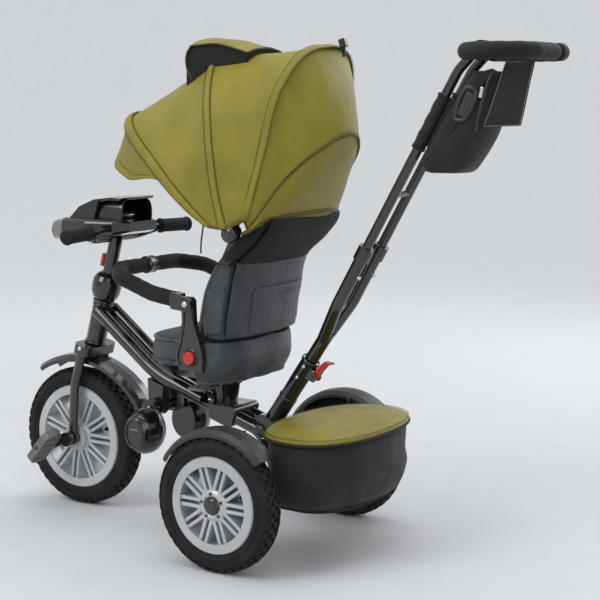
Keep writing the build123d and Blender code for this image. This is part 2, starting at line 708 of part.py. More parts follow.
def arch_point(arch, t, inset=0.0):
    """A point on a bow arch, t from 0 at the left pivot to 180 at the right one."""
    angle, radius, half, n = arch
    a, q = math.radians(angle), math.radians(t)
    c, s = math.cos(q), math.sin(q)
    cx = math.copysign(abs(c) ** (2 / n), c)
    sx = abs(s) ** (2 / n)
    r = (radius - inset) * sx
    return Vector((half - inset) * cx, CAN_Y - r * math.cos(a), CAN_Z + r * math.sin(a))


def band(a, b, k):
    """A closed section of the canopy skin between two arches, k of the way."""
    ts = [7 + (180 - 14) * i / STEPS for i in range(STEPS + 1)]
    outer = [arch_point(a, t) * (1 - k) + arch_point(b, t) * k for t in ts]
    inner = [arch_point(a, t, SKIN) * (1 - k) + arch_point(b, t, SKIN) * k for t in ts]
    return outer, inner


def ring_at(t):
    """The outer and inner skin points across all the arches at one t."""
    return [arch_point(a, t) for a in ARCHES], [arch_point(a, t, SKIN) for a in ARCHES]


def triangle(a, b, c):
    return Face(Wire.make_polygon([a, b, c], close=True))


rings = [ring_at(7 + (180 - 14) * i / STEPS) for i in range(STEPS + 1)]
last = len(ARCHES) - 1
skin = []
for i in range(STEPS):
    for k in range(last):
        for layer in (0, 1):
            a, b = rings[i][layer][k], rings[i + 1][layer][k]
            c, d = rings[i + 1][layer][k + 1], rings[i][layer][k + 1]
            skin += [triangle(a, b, c), triangle(a, c, d)]
    for k in (0, last):
        a, b = rings[i][0][k], rings[i + 1][0][k]
        c, d = rings[i + 1][1][k], rings[i][1][k]
        skin += [triangle(a, b, c), triangle(a, c, d)]
for i in (0, STEPS):
    for k in range(last):
        a, b = rings[i][0][k], rings[i][0][k + 1]
        c, d = rings[i][1][k + 1], rings[i][1][k]
        skin += [triangle(a, b, c), triangle(a, c, d)]
with BuildPart() as canopy:
    add(Solid(Shell(skin)))
    # window flap folded back on top
    add(side_profile([(-178, 938), (-168, 966), (-118, 971), (-72, 968), (-56, 953), (-70, 948)], -58, 58))
save(canopy.part, "canopy_fabric")


def bow(arch, foot_x):
    """A canopy bow: a bent rod over the top, with an eye on the fold pin each side."""
    inset = 15
    a = math.radians(arch[0])
    foot = Vector(foot_x, CAN_Y - 8.5 * math.cos(a), CAN_Z + 8.5 * math.sin(a))
    half = [foot] + [arch_point(arch, t, inset) for t in (12, 30, 50, 72)]
    pts = half + [Vector(-p.X, p.Y, p.Z) for p in reversed(half)]
    radii = []
    for i in range(1, len(pts) - 1):
        p, q = pts[i] - pts[i - 1], pts[i + 1] - pts[i]
        turn = math.radians(p.get_angle(q))
        radii.append(0.42 * min(p.length, q.length) / math.tan(turn / 2))
    with BuildPart(mode=Mode.PRIVATE) as made:
        with BuildLine() as path:
            FilletPolyline(*pts, radius=radii)
        with BuildSketch(Plane(origin=path.line @ 0, z_dir=path.line % 0)):
            Circle(2.5)
        sweep(path=path.line)
        for side in (1, -1):
            with BuildSketch(Plane(origin=(side * foot_x - 2, CAN_Y, CAN_Z), z_dir=(1, 0, 0))):
                Circle(10)
            extrude(amount=4)
        with BuildSketch(Plane(origin=(-200, CAN_Y, CAN_Z), z_dir=(1, 0, 0))):
            Circle(6.06)
        extrude(amount=400, mode=Mode.SUBTRACT)
    return made.part


save(bow(ARCHES[3], 125.2), "canopy_bow_rear")
save(bow(ARCHES[2], 134.0), "canopy_bow_middle")
save(bow(ARCHES[1], 139.2), "canopy_bow_front")

# limp drawstring that hangs from the front corner of the canopy
CORD_R = 1.5
cord_points = [Vector(148, -89, 631), Vector(149.5, -91, 612), Vector(148.5, -95, 592), Vector(150, -94, 574)]
cord_radii = []
for i in (1, 2):
    p, q = cord_points[i] - cord_points[i - 1], cord_points[i + 1] - cord_points[i]
    cord_radii.append(0.45 * min(p.length, q.length) / math.tan(math.radians(p.get_angle(q)) / 2))
with BuildPart() as cord:
    with BuildLine() as cord_line:
        FilletPolyline(*cord_points, radius=cord_radii)
    with BuildSketch(Plane(origin=cord_line.line @ 0, z_dir=cord_line.line % 0)):
        Circle(CORD_R)
    sweep(path=cord_line.line)
save(cord.part, "canopy_drawstring")
print("drawstring length", round(cord_line.wires()[0].length, 2), "radii", [round(r, 1) for r in cord_radii], "volume", round(cord.part.volume, 1), "section x length", round(math.pi * CORD_R ** 2 * cord_line.wires()[0].length, 1))

# fold knuckles on the sides of the backrest
with BuildPart() as knuckle_c:
    with BuildSketch(Plane(origin=(142.2, CAN_Y, CAN_Z - 4), z_dir=(1, 0, 0))):
        Circle(16)
    extrude(amount=13)
    fillet(knuckle_c.faces().sort_by(Axis.X)[-1].edges(), 4)
save_both(knuckle_c.part, "canopy_knuckles")

# ------------------------------------------------------------ push bar
collar_c = yz(189, 586)
up_dir = (yz(389, 941) - collar_c).normalized()
bend_c = collar_c - up_dir * 122
with BuildPart() as push_lower:
    with BuildSketch(Plane(origin=SOCKET_TOP - low_dir * 40, z_dir=low_dir)):
        Circle(13.3)
    extrude(amount=40 + 157 + 10)
    for side in (1, -1):
        with BuildLine() as branch:
            FilletPolyline(
                (side * 4, 84, 408), bend_c + Vector(side * PUSH_X, 0, 0), collar_c + Vector(side * PUSH_X, 0, 0), radius=[70],
            )
        with BuildSketch(Plane(origin=branch.line @ 0, z_dir=branch.line % 0)):
            Circle(12)
        sweep(path=branch.line)
    for side in (1, -1):
        top = collar_c + Vector(side * PUSH_X, 0, 0)
        with BuildSketch(Plane(origin=top, z_dir=up_dir * -1)):
            Circle(9.3)
        extrude(amount=104, mode=Mode.SUBTRACT)
# pockets for the spring buttons
snap_out = Vector(0, up_dir.Z, -up_dir.Y)
with BuildPart() as lower_tube:
    add(push_lower.part)
    for side in (1, -1):
        with BuildSketch(Plane(origin=collar_c + Vector(side * PUSH_X, 0, 0) - up_dir * 52 + snap_out * 10, z_dir=snap_out)):
            Circle(4.2)
        extrude(amount=4, mode=Mode.SUBTRACT)
save(lower_tube.part, "push_bar_lower")

with BuildPart() as sleeve:
    with BuildSketch(Plane(origin=SOCKET_TOP + low_dir * 0.3, z_dir=low_dir)):
        Circle(17)
    extrude(amount=94)
    # lugs for the quick-release lever
    for lx in (-11, 6.5):
        with BuildSketch(Plane(origin=(lx, 0, 0), x_dir=(0, 1, 0), z_dir=(1, 0, 0))):
            with BuildLine():
                Polyline((47, 330), (66, 324), (72, 330), (70, 340), (60, 352), close=True)
            make_face()
        extrude(amount=4.5)
    with BuildSketch(Plane(origin=(-12.5, 63.5, 334), z_dir=(1, 0, 0))):
        Circle(3.0)
    extrude(amount=25)
    with BuildSketch(Plane(origin=SOCKET_TOP - low_dir * 5, z_dir=low_dir)):
        Circle(13.35)
    extrude(amount=140, mode=Mode.SUBTRACT)
save(sleeve.part, "push_bar_sleeve")

with BuildPart() as quick:
    with BuildSketch(Plane(origin=(-6.2, 0, 0), x_dir=(0, 1, 0), z_dir=(1, 0, 0))):
        with BuildLine():
            Polyline((62, 326), (71, 331), (80, 345), (92, 358), (100, 360), (100, 364), (88, 366), (76, 356), (66, 344), (58.5, 336), (58.5, 331), close=True)
        make_face()
        with Locations((63.5, 334)):
            Circle(3.06, mode=Mode.SUBTRACT)
    extrude(amount=12.4)
save(quick.part, "quick_release_lever")

with BuildPart() as collars:
    for side in (1, -1):
        base = collar_c + Vector(side * PUSH_X, 0, 0) - up_dir * 22
        with BuildSketch(Plane(origin=base, z_dir=up_dir)):
            Circle(15)
            Circle(12.05, mode=Mode.SUBTRACT)
        extrude(amount=22)
        with BuildSketch(Plane(origin=base + up_dir * 22, z_dir=up_dir)):
            Circle(15)
            Circle(9.1, mode=Mode.SUBTRACT)
        extrude(amount=6)
save(collars.part, "telescope_collars")

# spring buttons that lock the telescoping tubes, facing rearwards
snap_out = Vector(0, up_dir.Z, -up_dir.Y)
with BuildPart() as snaps:
    for side in (1, -1):
        b0 = collar_c + Vector(side * PUSH_X, 0, 0) - up_dir * 52 + snap_out * 12.2
        with BuildSketch(Plane(origin=b0, z_dir=snap_out)):
            Circle(4)
        extrude(amount=3.5)
save(snaps.part, "snap_buttons")

ring_centre = Vector(0, RING_Y, RING_Z)
ring_wire = (Pos(0, RING_Y, RING_Z) * RectangleRounded(2 * RING_A, 2 * RING_B, 60)).wire()
with BuildPart() as push_upper:
    for side in (1, -1):
        lo = collar_c + Vector(side * PUSH_X, 0, 0) - up_dir * 30
        knee = collar_c + Vector(side * PUSH_X, 0, 0) + up_dir * 372
        with BuildLine() as upright:
            FilletPolyline(lo, knee, Vector(side * PUSH_X, RING_Y - RING_B, RING_Z), radius=[60])
        with BuildSketch(Plane(origin=upright.line @ 0, z_dir=upright.line % 0)):
            Circle(9)
        sweep(path=upright.line)
    # cross brace
    with BuildSketch(Plane(origin=(-PUSH_X, 247.6, 690), z_dir=(1, 0, 0))):
        Circle(6)
    extrude(amount=2 * PUSH_X)
    # handle ring
    with BuildSketch(Plane(origin=ring_wire @ 0, z_dir=ring_wire % 0)):
        Circle(9)
    sweep(path=ring_wire)
save(push_upper.part, "push_bar_upper")


def foam(points, radii):
    """A foam sleeve round a stretch of the ring."""
    with BuildPart(mode=Mode.PRIVATE) as made:
        with BuildLine() as path:
            FilletPolyline(*points, radius=radii)
        with BuildSketch(Plane(origin=path.line @ 0, z_dir=path.line % 0)):
            Circle(FOAM_R)
            Circle(9.1, mode=Mode.SUBTRACT)
        sweep(path=path.line)
    return made.part


F0, F1 = RING_Y - RING_B, RING_Y + RING_B
foam_a = foam([(42, F0, RING_Z), (RING_A, F0, RING_Z), (RING_A, F1, RING_Z), (-34, F1, RING_Z)], [60, 60])
foam_b = foam([(-42, F1, RING_Z), (-RING_A, F1, RING_Z), (-RING_A, F0, RING_Z), (-42, F0, RING_Z)], [60, 60])
save(Compound([*foam_a.solids(), *foam_b.solids()]), "handle_foam")

# ------------------------------------------------------------ bag
with BuildPart() as bag:
    add(side_profile([(296, 740), (372, 731), (392, 742), (428, 800), (462, 905), (394, 905)], -48, 48))
    add(side_profile([(304, 744), (370, 736), (388, 747), (423, 803), (457, 906), (399.5, 906)], -44, 44), mode=Mode.SUBTRACT)
save(bag.part, "bag_body")

with BuildPart() as bag_flap:
    add(side_profile([(428, 920), (514, 921), (490, 815), (424, 815)], 50, 54))
save(bag_flap.part, "bag_flap")

with BuildPart() as buckle:
    add(side_profile([(376, 824), (398, 824), (420, 878), (398, 882)], 48.5, 52))
save(buckle.part, "bag_buckle")

# ------------------------------------------------------------ basket
BK_Y, BK_A, BK_B = 118.0, 180.0, 100.0


def pan(a, b):
    pts = []
    for i in range(28):
        t = 2 * math.pi * i / 28
        c, s = math.cos(t), math.sin(t)
        pts.append((a * math.copysign(abs(c) ** 0.8, c), BK_Y + b * math.copysign(abs(s) ** 0.8, s)))
    return pts


def basket_loft(levels, cut):
    with BuildPart(mode=Mode.PRIVATE) as made:
        for z, a, b in levels:
            with BuildSketch(Plane.XY.offset(z)):
                with BuildLine():
                    Polyline(*pan(a - cut, b - cut), close=True)
                make_face()
        loft(ruled=True)
    return made.part


with BuildPart() as basket:
    add(basket_loft([(92, 150, 84), (112, 166, 96), (180, 176, 100), (246, 172, 98)], 0))
    add(basket_loft([(100, 150, 84), (118, 166, 96), (180, 176, 100), (246.5, 172, 98)], 6), mode=Mode.SUBTRACT)
save(basket.part, "basket_body")

with BuildPart() as lid:
    with BuildSketch(Plane.XY.offset(246.6)):
        with BuildLine():
            Polyline(*pan(176, 101), close=True)
        make_face()
    extrude(amount=14, taper=40)
save(lid.part, "basket_lid")
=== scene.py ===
import json
import math

import bmesh
import bpy
from mathutils import Matrix, Vector, noise


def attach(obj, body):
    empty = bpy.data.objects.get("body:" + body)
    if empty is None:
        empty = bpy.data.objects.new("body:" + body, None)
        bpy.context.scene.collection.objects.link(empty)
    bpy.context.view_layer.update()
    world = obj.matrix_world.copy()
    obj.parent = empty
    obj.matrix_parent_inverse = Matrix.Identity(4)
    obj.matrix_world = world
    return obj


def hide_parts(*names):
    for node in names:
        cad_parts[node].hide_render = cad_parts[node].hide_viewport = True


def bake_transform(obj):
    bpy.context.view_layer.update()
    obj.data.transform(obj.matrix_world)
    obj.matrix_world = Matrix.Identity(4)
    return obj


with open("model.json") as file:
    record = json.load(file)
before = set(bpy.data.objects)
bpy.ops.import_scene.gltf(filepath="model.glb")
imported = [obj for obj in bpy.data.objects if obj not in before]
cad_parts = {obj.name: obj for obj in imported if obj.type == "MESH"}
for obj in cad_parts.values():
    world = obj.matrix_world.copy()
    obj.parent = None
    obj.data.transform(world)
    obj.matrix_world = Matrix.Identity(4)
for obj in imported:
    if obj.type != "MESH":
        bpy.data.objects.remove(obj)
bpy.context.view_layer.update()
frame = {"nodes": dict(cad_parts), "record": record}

SHIFT = 62.9
NODES = frame["nodes"]


def P(x, y, z):
    """A point given in millimetres from the rear axle, as metres in the row frame."""
    return Vector((x / 1000, (y + SHIFT) / 1000, z / 1000))


# ------------------------------------------------------------ materials
def new_mat(name):
    m = bpy.data.materials.new(name)
    m.use_nodes = True
    nt = m.node_tree
    b = nt.nodes["Principled BSDF"]
    return m, nt, b


def coords(nt, kind="Object", scale=(1, 1, 1), rot=(0, 0, 0)):
    tc = nt.nodes.new("ShaderNodeTexCoord")
    mp = nt.nodes.new("ShaderNodeMapping")
    mp.inputs["Scale"].default_value = scale
    mp.inputs["Rotation"].default_value = rot
    nt.links.new(tc.outputs[kind], mp.inputs["Vector"])
    return mp.outputs["Vector"]


def noise_tex(nt, vec, scale, detail=4, rough=0.55):
    n = nt.nodes.new("ShaderNodeTexNoise")
    n.inputs["Scale"].default_value = scale
    n.inputs["Detail"].default_value = detail
    n.inputs["Roughness"].default_value = rough
    nt.links.new(vec, n.inputs["Vector"])
    return n.outputs["Fac"]


def ramp(nt, fac, stops):
    r = nt.nodes.new("ShaderNodeValToRGB")
    while len(r.color_ramp.elements) < len(stops):
        r.color_ramp.elements.new(0.5)
    for e, (p, c) in zip(r.color_ramp.elements, stops):
        e.position = p
        e.color = (*c, 1)
    nt.links.new(fac, r.inputs["Fac"])
    return r.outputs["Color"]


def bump(nt, b, height, strength, distance=0.001, chain=None):
    n = nt.nodes.new("ShaderNodeBump")
    n.inputs["Strength"].default_value = strength
    n.inputs["Distance"].default_value = distance
    nt.links.new(height, n.inputs["Height"])
    if chain is not None:
        nt.links.new(chain, n.inputs["Normal"])
    nt.links.new(n.outputs["Normal"], b.inputs["Normal"])
    return n.outputs["Normal"]


def math_node(nt, op, a, c=None, value=None):
    n = nt.nodes.new("ShaderNodeMath")
    n.operation = op
    nt.links.new(a, n.inputs[0])
    if c is not None:
        nt.links.new(c, n.inputs[1])
    if value is not None:
        n.inputs[1].default_value = value
    return n.outputs[0]


def wave(nt, vec, scale, direction="X", profile="SIN"):
    w = nt.nodes.new("ShaderNodeTexWave")
    w.wave_type = "BANDS"
    w.bands_direction = direction
    w.wave_profile = profile
    w.inputs["Scale"].default_value = scale
    w.inputs["Distortion"].default_value = 0.15
    w.inputs["Detail"].default_value = 1.0
    nt.links.new(vec, w.inputs["Vector"])
    return w.outputs["Fac"]


def hard(name, c1, c2, rough, metal=0.0, coat=0.0, grain=380, depth=0.25, spots=9, coat_rough=0.08, ior=1.5, alpha=None, transmission=0.0):
    """Painted or moulded hard material: slow tone change, fine grain, light wear."""
    m, nt, b = new_mat(name)
    v = coords(nt)
    slow = noise_tex(nt, v, spots, 5, 0.6)
    nt.links.new(ramp(nt, slow, [(0.3, c1), (0.72, c2)]), b.inputs["Base Color"])
    b.inputs["Metallic"].default_value = metal
    b.inputs["Roughness"].default_value = rough
    b.inputs["IOR"].default_value = ior
    b.inputs["Coat Weight"].default_value = coat
    b.inputs["Coat Roughness"].default_value = coat_rough
    if rough > 0.6:
        b.inputs["Specular IOR Level"].default_value = 0.2
    if transmission:
        b.inputs["Transmission Weight"].default_value = transmission
    fine = noise_tex(nt, v, grain, 3, 0.5)
    bump(nt, b, fine, depth, 0.0004)
    return m


def cloth(name, c1, c2, rough, scale=1400, sheen=0.3, satin=0.0, wrinkle=0.5, diag=False, tone=14, weave_depth=0.5, sheen_tint=(1, 1, 1)):
    """Woven cloth: crossed threads, soft wrinkles and a sheen; made from UVs in metres."""
    m, nt, b = new_mat(name)
    v = coords(nt, "UV", rot=(0, 0, math.radians(45) if diag else 0))
    o = coords(nt)
    slow = noise_tex(nt, o, tone, 5, 0.6)
    warp = wave(nt, v, scale, "X")
    weft = wave(nt, v, scale, "Y")
    weave = math_node(nt, "MULTIPLY", warp, weft)
    mixed = math_node(nt, "ADD", math_node(nt, "MULTIPLY", slow, value=0.75), math_node(nt, "MULTIPLY", weave, value=0.3))
    nt.links.new(ramp(nt, mixed, [(0.28, c1), (0.75, c2)]), b.inputs["Base Color"])
    b.inputs["Specular IOR Level"].default_value = 0.22
    b.inputs["Roughness"].default_value = rough
    b.inputs["Sheen Weight"].default_value = sheen
    b.inputs["Sheen Roughness"].default_value = 0.4
    b.inputs["Sheen Tint"].default_value = (*sheen_tint, 1)
    b.inputs["Specular IOR Level"].default_value = 0.35 + satin
    first = bump(nt, b, noise_tex(nt, o, 42, 5, 0.65), wrinkle, 0.004)
    bump(nt, b, weave, weave_depth, 0.0005, first)
    return m


def mesh_cloth(name, c1, c2, hole=900):
    """Spacer mesh: a diagonal grid of dark holes."""
    m, nt, b = new_mat(name)
    v = coords(nt, "UV", rot=(0, 0, math.radians(38)))
    w1 = wave(nt, v, hole, "X")
    w2 = wave(nt, v, hole, "Y")
    grid = math_node(nt, "MULTIPLY", w1, w2)
    nt.links.new(ramp(nt, grid, [(0.12, c2), (0.45, c1)]), b.inputs["Base Color"])
    b.inputs["Specular IOR Level"].default_value = 0.22
    b.inputs["Roughness"].default_value = 0.7
    b.inputs["Sheen Weight"].default_value = 0.05
    first = bump(nt, b, noise_tex(nt, coords(nt), 26, 4, 0.6), 0.4, 0.004)
    bump(nt, b, grid, 0.8, 0.0008, first)
    return m


def foam_mat(name, c1, c2):
    m, nt, b = new_mat(name)
    v = coords(nt)
    vor = nt.nodes.new("ShaderNodeTexVoronoi")
    vor.inputs["Scale"].default_value = 900
    nt.links.new(v, vor.inputs["Vector"])
    nt.links.new(ramp(nt, noise_tex(nt, v, 22, 5, 0.65), [(0.3, c1), (0.75, c2)]), b.inputs["Base Color"])
    b.inputs["Specular IOR Level"].default_value = 0.22
    b.inputs["Roughness"].default_value = 0.72
    b.inputs["Sheen Weight"].default_value = 0.06
    bump(nt, b, vor.outputs["Distance"], 0.55, 0.0008)
    return m


M = {
    "tyre": hard("tyre_rubber", (0.008, 0.008, 0.009), (0.020, 0.020, 0.020), 0.66, grain=520, depth=0.6, spots=28),
    "silver": hard("silver_moulding", (0.42, 0.44, 0.46), (0.54, 0.56, 0.58), 0.36, metal=0.35, coat=0.25, grain=600, depth=0.12),
    "frame": hard("frame_enamel", (0.010, 0.010, 0.007), (0.022, 0.021, 0.015), 0.18, metal=0.35, coat=0.9, grain=900, depth=0.10),
    "black_gloss": hard("black_gloss_moulding", (0.006, 0.006, 0.007), (0.014, 0.014, 0.015), 0.16, coat=0.6, grain=300, depth=0.06),
    "grey_matt": hard("satin_grey_moulding", (0.016, 0.017, 0.018), (0.030, 0.031, 0.033), 0.42, grain=700, depth=0.35),
    "lever_grey": hard("grey_moulding", (0.12, 0.125, 0.13), (0.17, 0.175, 0.18), 0.5, grain=700, depth=0.3),
    "steel": hard("bright_steel", (0.62, 0.62, 0.61), (0.78, 0.78, 0.77), 0.22, metal=1.0, grain=800, depth=0.15),
    "red": hard("red_moulding", (0.42, 0.012, 0.012), (0.55, 0.025, 0.02), 0.3, coat=0.3, grain=500, depth=0.2),
    "foam": foam_mat("foam_black", (0.006, 0.006, 0.007), (0.016, 0.016, 0.017)),
    "lens": hard("clear_lens", (0.80, 0.82, 0.85), (0.92, 0.93, 0.95), 0.08, coat=0.6, grain=160, depth=0.5, transmission=0.35),
    "olive": cloth("olive_satin", (0.175, 0.150, 0.007), (0.320, 0.272, 0.016), 0.40, scale=1500, sheen=0.06, satin=0.10, wrinkle=0.55, tone=10, sheen_tint=(0.8, 0.75, 0.4)),
    "olive_dark": cloth("olive_satin_dark", (0.060, 0.052, 0.004), (0.12, 0.104, 0.008), 0.5, scale=1500, sheen=0.05, wrinkle=0.6, sheen_tint=(0.8, 0.75, 0.4)),
    "nylon": cloth("black_nylon", (0.006, 0.006, 0.007), (0.017, 0.017, 0.019), 0.58, scale=1100, sheen=0.06, wrinkle=0.8),
    "strap": cloth("black_webbing", (0.008, 0.008, 0.009), (0.02, 0.02, 0.021), 0.7, scale=800, sheen=0.06, wrinkle=0.15, weave_depth=0.9),
    "grey_cloth": cloth("grey_nylon", (0.036, 0.042, 0.050), (0.080, 0.090, 0.104), 0.46, scale=1200, sheen=0.08, wrinkle=0.8, tone=18),
    "piping": cloth("grey_piping", (0.055, 0.058, 0.064), (0.10, 0.105, 0.112), 0.6, scale=900, sheen=0.3, wrinkle=0.2),
    "mesh": mesh_cloth("dark_mesh", (0.022, 0.023, 0.026), (0.003, 0.003, 0.004), hole=420),
    "thread": cloth("pale_thread", (0.28, 0.28, 0.28), (0.42, 0.42, 0.41), 0.7, scale=2500, sheen=0.2, wrinkle=0.1),
    "silver_gloss": hard("silver_gloss", (0.55, 0.55, 0.56), (0.7, 0.7, 0.71), 0.15, metal=0.8, coat=0.5, grain=400, depth=0.05),
    "floor": hard("studio_floor", (0.60, 0.62, 0.645), (0.63, 0.65, 0.675), 0.75, grain=60, depth=0.02),
}

for n, o in NODES.items():
    slot = next(s["material_slot"] for s in frame["record"]["subparts"] if s["node"] == n)
    use = {"olive": "olive", "nylon": "nylon", "grey_cloth": "grey_cloth"}.get(slot, slot)
    o.data.materials.clear()
    o.data.materials.append(M[use])


# ------------------------------------------------------------ mesh helpers
def make(name, verts, faces, material, body, uvs=None, smooth=True, subsurf=0, solid=0.0, bevel=0.0, slot=None, also=None):
    me = bpy.data.meshes.new(name)
    me.from_pydata([tuple(v) for v in verts], [], faces)
    me.validate()
    me.update()
    if uvs is not None:
        layer = me.uv_layers.new(name="UVMap")
        for poly in me.polygons:
            for li in poly.loop_indices:
                layer.data[li].uv = uvs[me.loops[li].vertex_index]
    bm = bmesh.new()
    bm.from_mesh(me)
    bmesh.ops.recalc_face_normals(bm, faces=bm.faces)
    bm.to_mesh(me)
    bm.free()
    for p in me.polygons:
        p.use_smooth = smooth
    o = bpy.data.objects.new(name, me)
    bpy.context.scene.collection.objects.link(o)
    me.materials.append(M[material])
    for extra in also or ():
        me.materials.append(M[extra])
    if solid:
        s = o.modifiers.new("thick", "SOLIDIFY")
        s.thickness = solid
        s.offset = 0
    if bevel:
        s = o.modifiers.new("bevel", "BEVEL")
        s.width = bevel
        s.segments = 2
        s.limit_method = "ANGLE"
    if subsurf:
        s = o.modifiers.new("sub", "SUBSURF")
        s.levels = s.render_levels = subsurf
    if body:
        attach(o, body)
    return o


def grid(rows, close_u=False, close_v=False, cap=False):
    """Vertices, faces and metre UVs of a grid of points."""
    nr, nc = len(rows), len(rows[0])
    verts = [p for r in rows for p in r]
    faces = []
    for i in range(nr if close_v else nr - 1):
        for j in range(nc if close_u else nc - 1):
            a = i * nc + j
            b = i * nc + (j + 1) % nc
            c = ((i + 1) % nr) * nc + (j + 1) % nc
            d = ((i + 1) % nr) * nc + j
            faces.append((a, b, c, d))
    if cap:
        faces.append(tuple(range(nc))[::-1])
        faces.append(tuple((nr - 1) * nc + j for j in range(nc)))
    uvs = []
    mid = nc // 2
    v = 0.0
    for i, r in enumerate(rows):
        if i:
            v += (rows[i][mid] - rows[i - 1][mid]).length
        u = 0.0
        for j, p in enumerate(r):
            if j:
                u += (r[j] - r[j - 1]).length
            uvs.append((u, v))
    return verts, faces, uvs


def surface(name, rows, material, body, close_u=False, close_v=False, cap=False, **k):
    verts, faces, uvs = grid(rows, close_u, close_v, cap)
    return make(name, verts, faces, material, body, uvs=uvs, **k)


def smooth_path(pts, n=10):
    """Catmull-Rom through the points."""
    out = []
    for i in range(len(pts) - 1):
        p0 = pts[max(i - 1, 0)]
        p1, p2 = pts[i], pts[i + 1]
        p3 = pts[min(i + 2, len(pts) - 1)]
        for k in range(n):
            t = k / n
            out.append(0.5 * ((2 * p1) + (p2 - p0) * t + (2 * p0 - 5 * p1 + 4 * p2 - p3) * t * t + (3 * p1 - p0 - 3 * p2 + p3) * t ** 3))
    out.append(pts[-1].copy())
    return out


def frames(path):
    """A non-twisting side and up direction at each point of a path."""
    out = []
    t0 = (path[1] - path[0]).normalized()
    side = t0.cross(Vector((0, 0, 1)))
    if side.length < 0.1:
        side = t0.cross(Vector((1, 0, 0)))
    side.normalize()
    for i, p in enumerate(path):
        t = (path[min(i + 1, len(path) - 1)] - path[max(i - 1, 0)]).normalized()
        side = (side - t * side.dot(t)).normalized()
        out.append((p, t, side, side.cross(t).normalized()))
    return out


def tube(name, path, r, material, body, seg=20, radius=None, dome=0.0, **k):
    """A round tube along a path; radius(i, n, angle) may change it."""
    fr = frames(path)
    rows = []
    n = len(fr)
    for i, (p, t, s, u) in enumerate(fr):
        row = []
        for j in range(seg):
            a = 2 * math.pi * j / seg
            q = radius(i, n, a) if radius else r
            row.append(p + (s * math.cos(a) + u * math.sin(a)) * q)
        rows.append(row)
    if dome:
        def end(idx, direction):
            p, t, s, u = fr[idx]
            out = []
            for f in (0.25, 0.6, 0.85, 0.97):
                ring = [p + t * direction * dome * f + (s * math.cos(2 * math.pi * j / seg) + u * math.sin(2 * math.pi * j / seg)) * (radius(idx % n, n, 0) if radius else r) * math.sqrt(max(1 - f * f, 0.02)) for j in range(seg)]
                out.append(ring)
            return out
        rows = list(reversed(end(0, -1))) + rows + end(-1, 1)
    return surface(name, rows, material, body, close_u=True, cap=True, **k)


def revolve(name, profile, centre, axis, material, body, seg=64, closed=True, **k):
    """Turns (radius, along) points in mm about an axis through centre."""
    axis = Vector(axis).normalized()
    ref = Vector((0, 0, 1)) if abs(axis.z) < 0.9 else Vector((1, 0, 0))
    s = axis.cross(ref).normalized()
    u = axis.cross(s).normalized()
    rows = []
    for i in range(seg):
        a = 2 * math.pi * i / seg
        d = s * math.cos(a) + u * math.sin(a)
        rows.append([centre + d * (r / 1000) + axis * (h / 1000) for r, h in profile])
    return surface(name, rows, material, body, close_u=closed, close_v=True, **k)


def screw(name, centre, axis, r, h, material, body):
    return revolve(name, [(0.05, h), (r * 0.45, h), (r * 0.5, h - 0.5), (r * 0.6, h), (r * 0.9, h * 0.8), (r, h * 0.3), (r, -0.5), (0.05, -0.5)], centre, axis, material, body, seg=20)


def boxes(name, items, material, body, bevel=0.0, smooth=False, **k):
    """Many small blocks in one mesh: (centre, x axis, y axis, z axis, half sizes)."""
    verts, faces = [], []
    for c, ax, ay, az, (hx, hy, hz) in items:
        b = len(verts)
        for sx, sy, sz in ((-1, -1, -1), (1, -1, -1), (1, 1, -1), (-1, 1, -1), (-1, -1, 1), (1, -1, 1), (1, 1, 1), (-1, 1, 1)):
            verts.append(c + ax * (hx * sx) + ay * (hy * sy) + az * (hz * sz))
        faces += [(b, b + 3, b + 2, b + 1), (b + 4, b + 5, b + 6, b + 7), (b, b + 1, b + 5, b + 4), (b + 1, b + 2, b + 6, b + 5), (b + 2, b + 3, b + 7, b + 6), (b + 3, b, b + 4, b + 7)]
    uvs = [(v.x + v.y, v.z) for v in verts]
    return make(name, verts, faces, material, body, uvs=uvs, smooth=smooth, bevel=bevel, **k)


def stitches(name, path, pitch, size, body, material="thread", lift=None, zig=0.0):
    """A row of small thread stitches along a path."""
    items = []
    total = 0.0
    nxt = 0.0
    k = 0
    for a, b in zip(path[:-1], path[1:]):
        d = b - a
        seg = d.length
        if seg < 1e-9:
            continue
        t = d.normalized()
        side = t.cross(lift or Vector((1, 0, 0))).normalized()
        up = side.cross(t).normalized()
        while nxt <= total + seg:
            p = a + t * (nxt - total)
            tt = (t + side * (zig if k % 2 else -zig)).normalized()
            ss = up.cross(tt).normalized()
            items.append((p, tt, ss, up, (pitch * 0.36, size, size)))
            nxt += pitch
            k += 1
        total += seg
    return boxes(name, items, material, body)


def flat_strip(name, path, width_dir, width, material, body, thick=0.0012, **k):
    """A strap of even width along a path, its width along width_dir."""
    rows = []
    for i, p in enumerate(path):
        w = Vector(width_dir if not callable(width_dir) else width_dir(i)).normalized()
        rows.append([p + w * width * (j / 4 - 0.5) for j in range(5)])
    return surface(name, rows, material, body, solid=thick, **k)


def wobble(p, scale, amount, seed=0.0):
    return noise.noise(Vector((p.x * scale + seed, p.y * scale - seed, p.z * scale + 2 * seed))) * amount

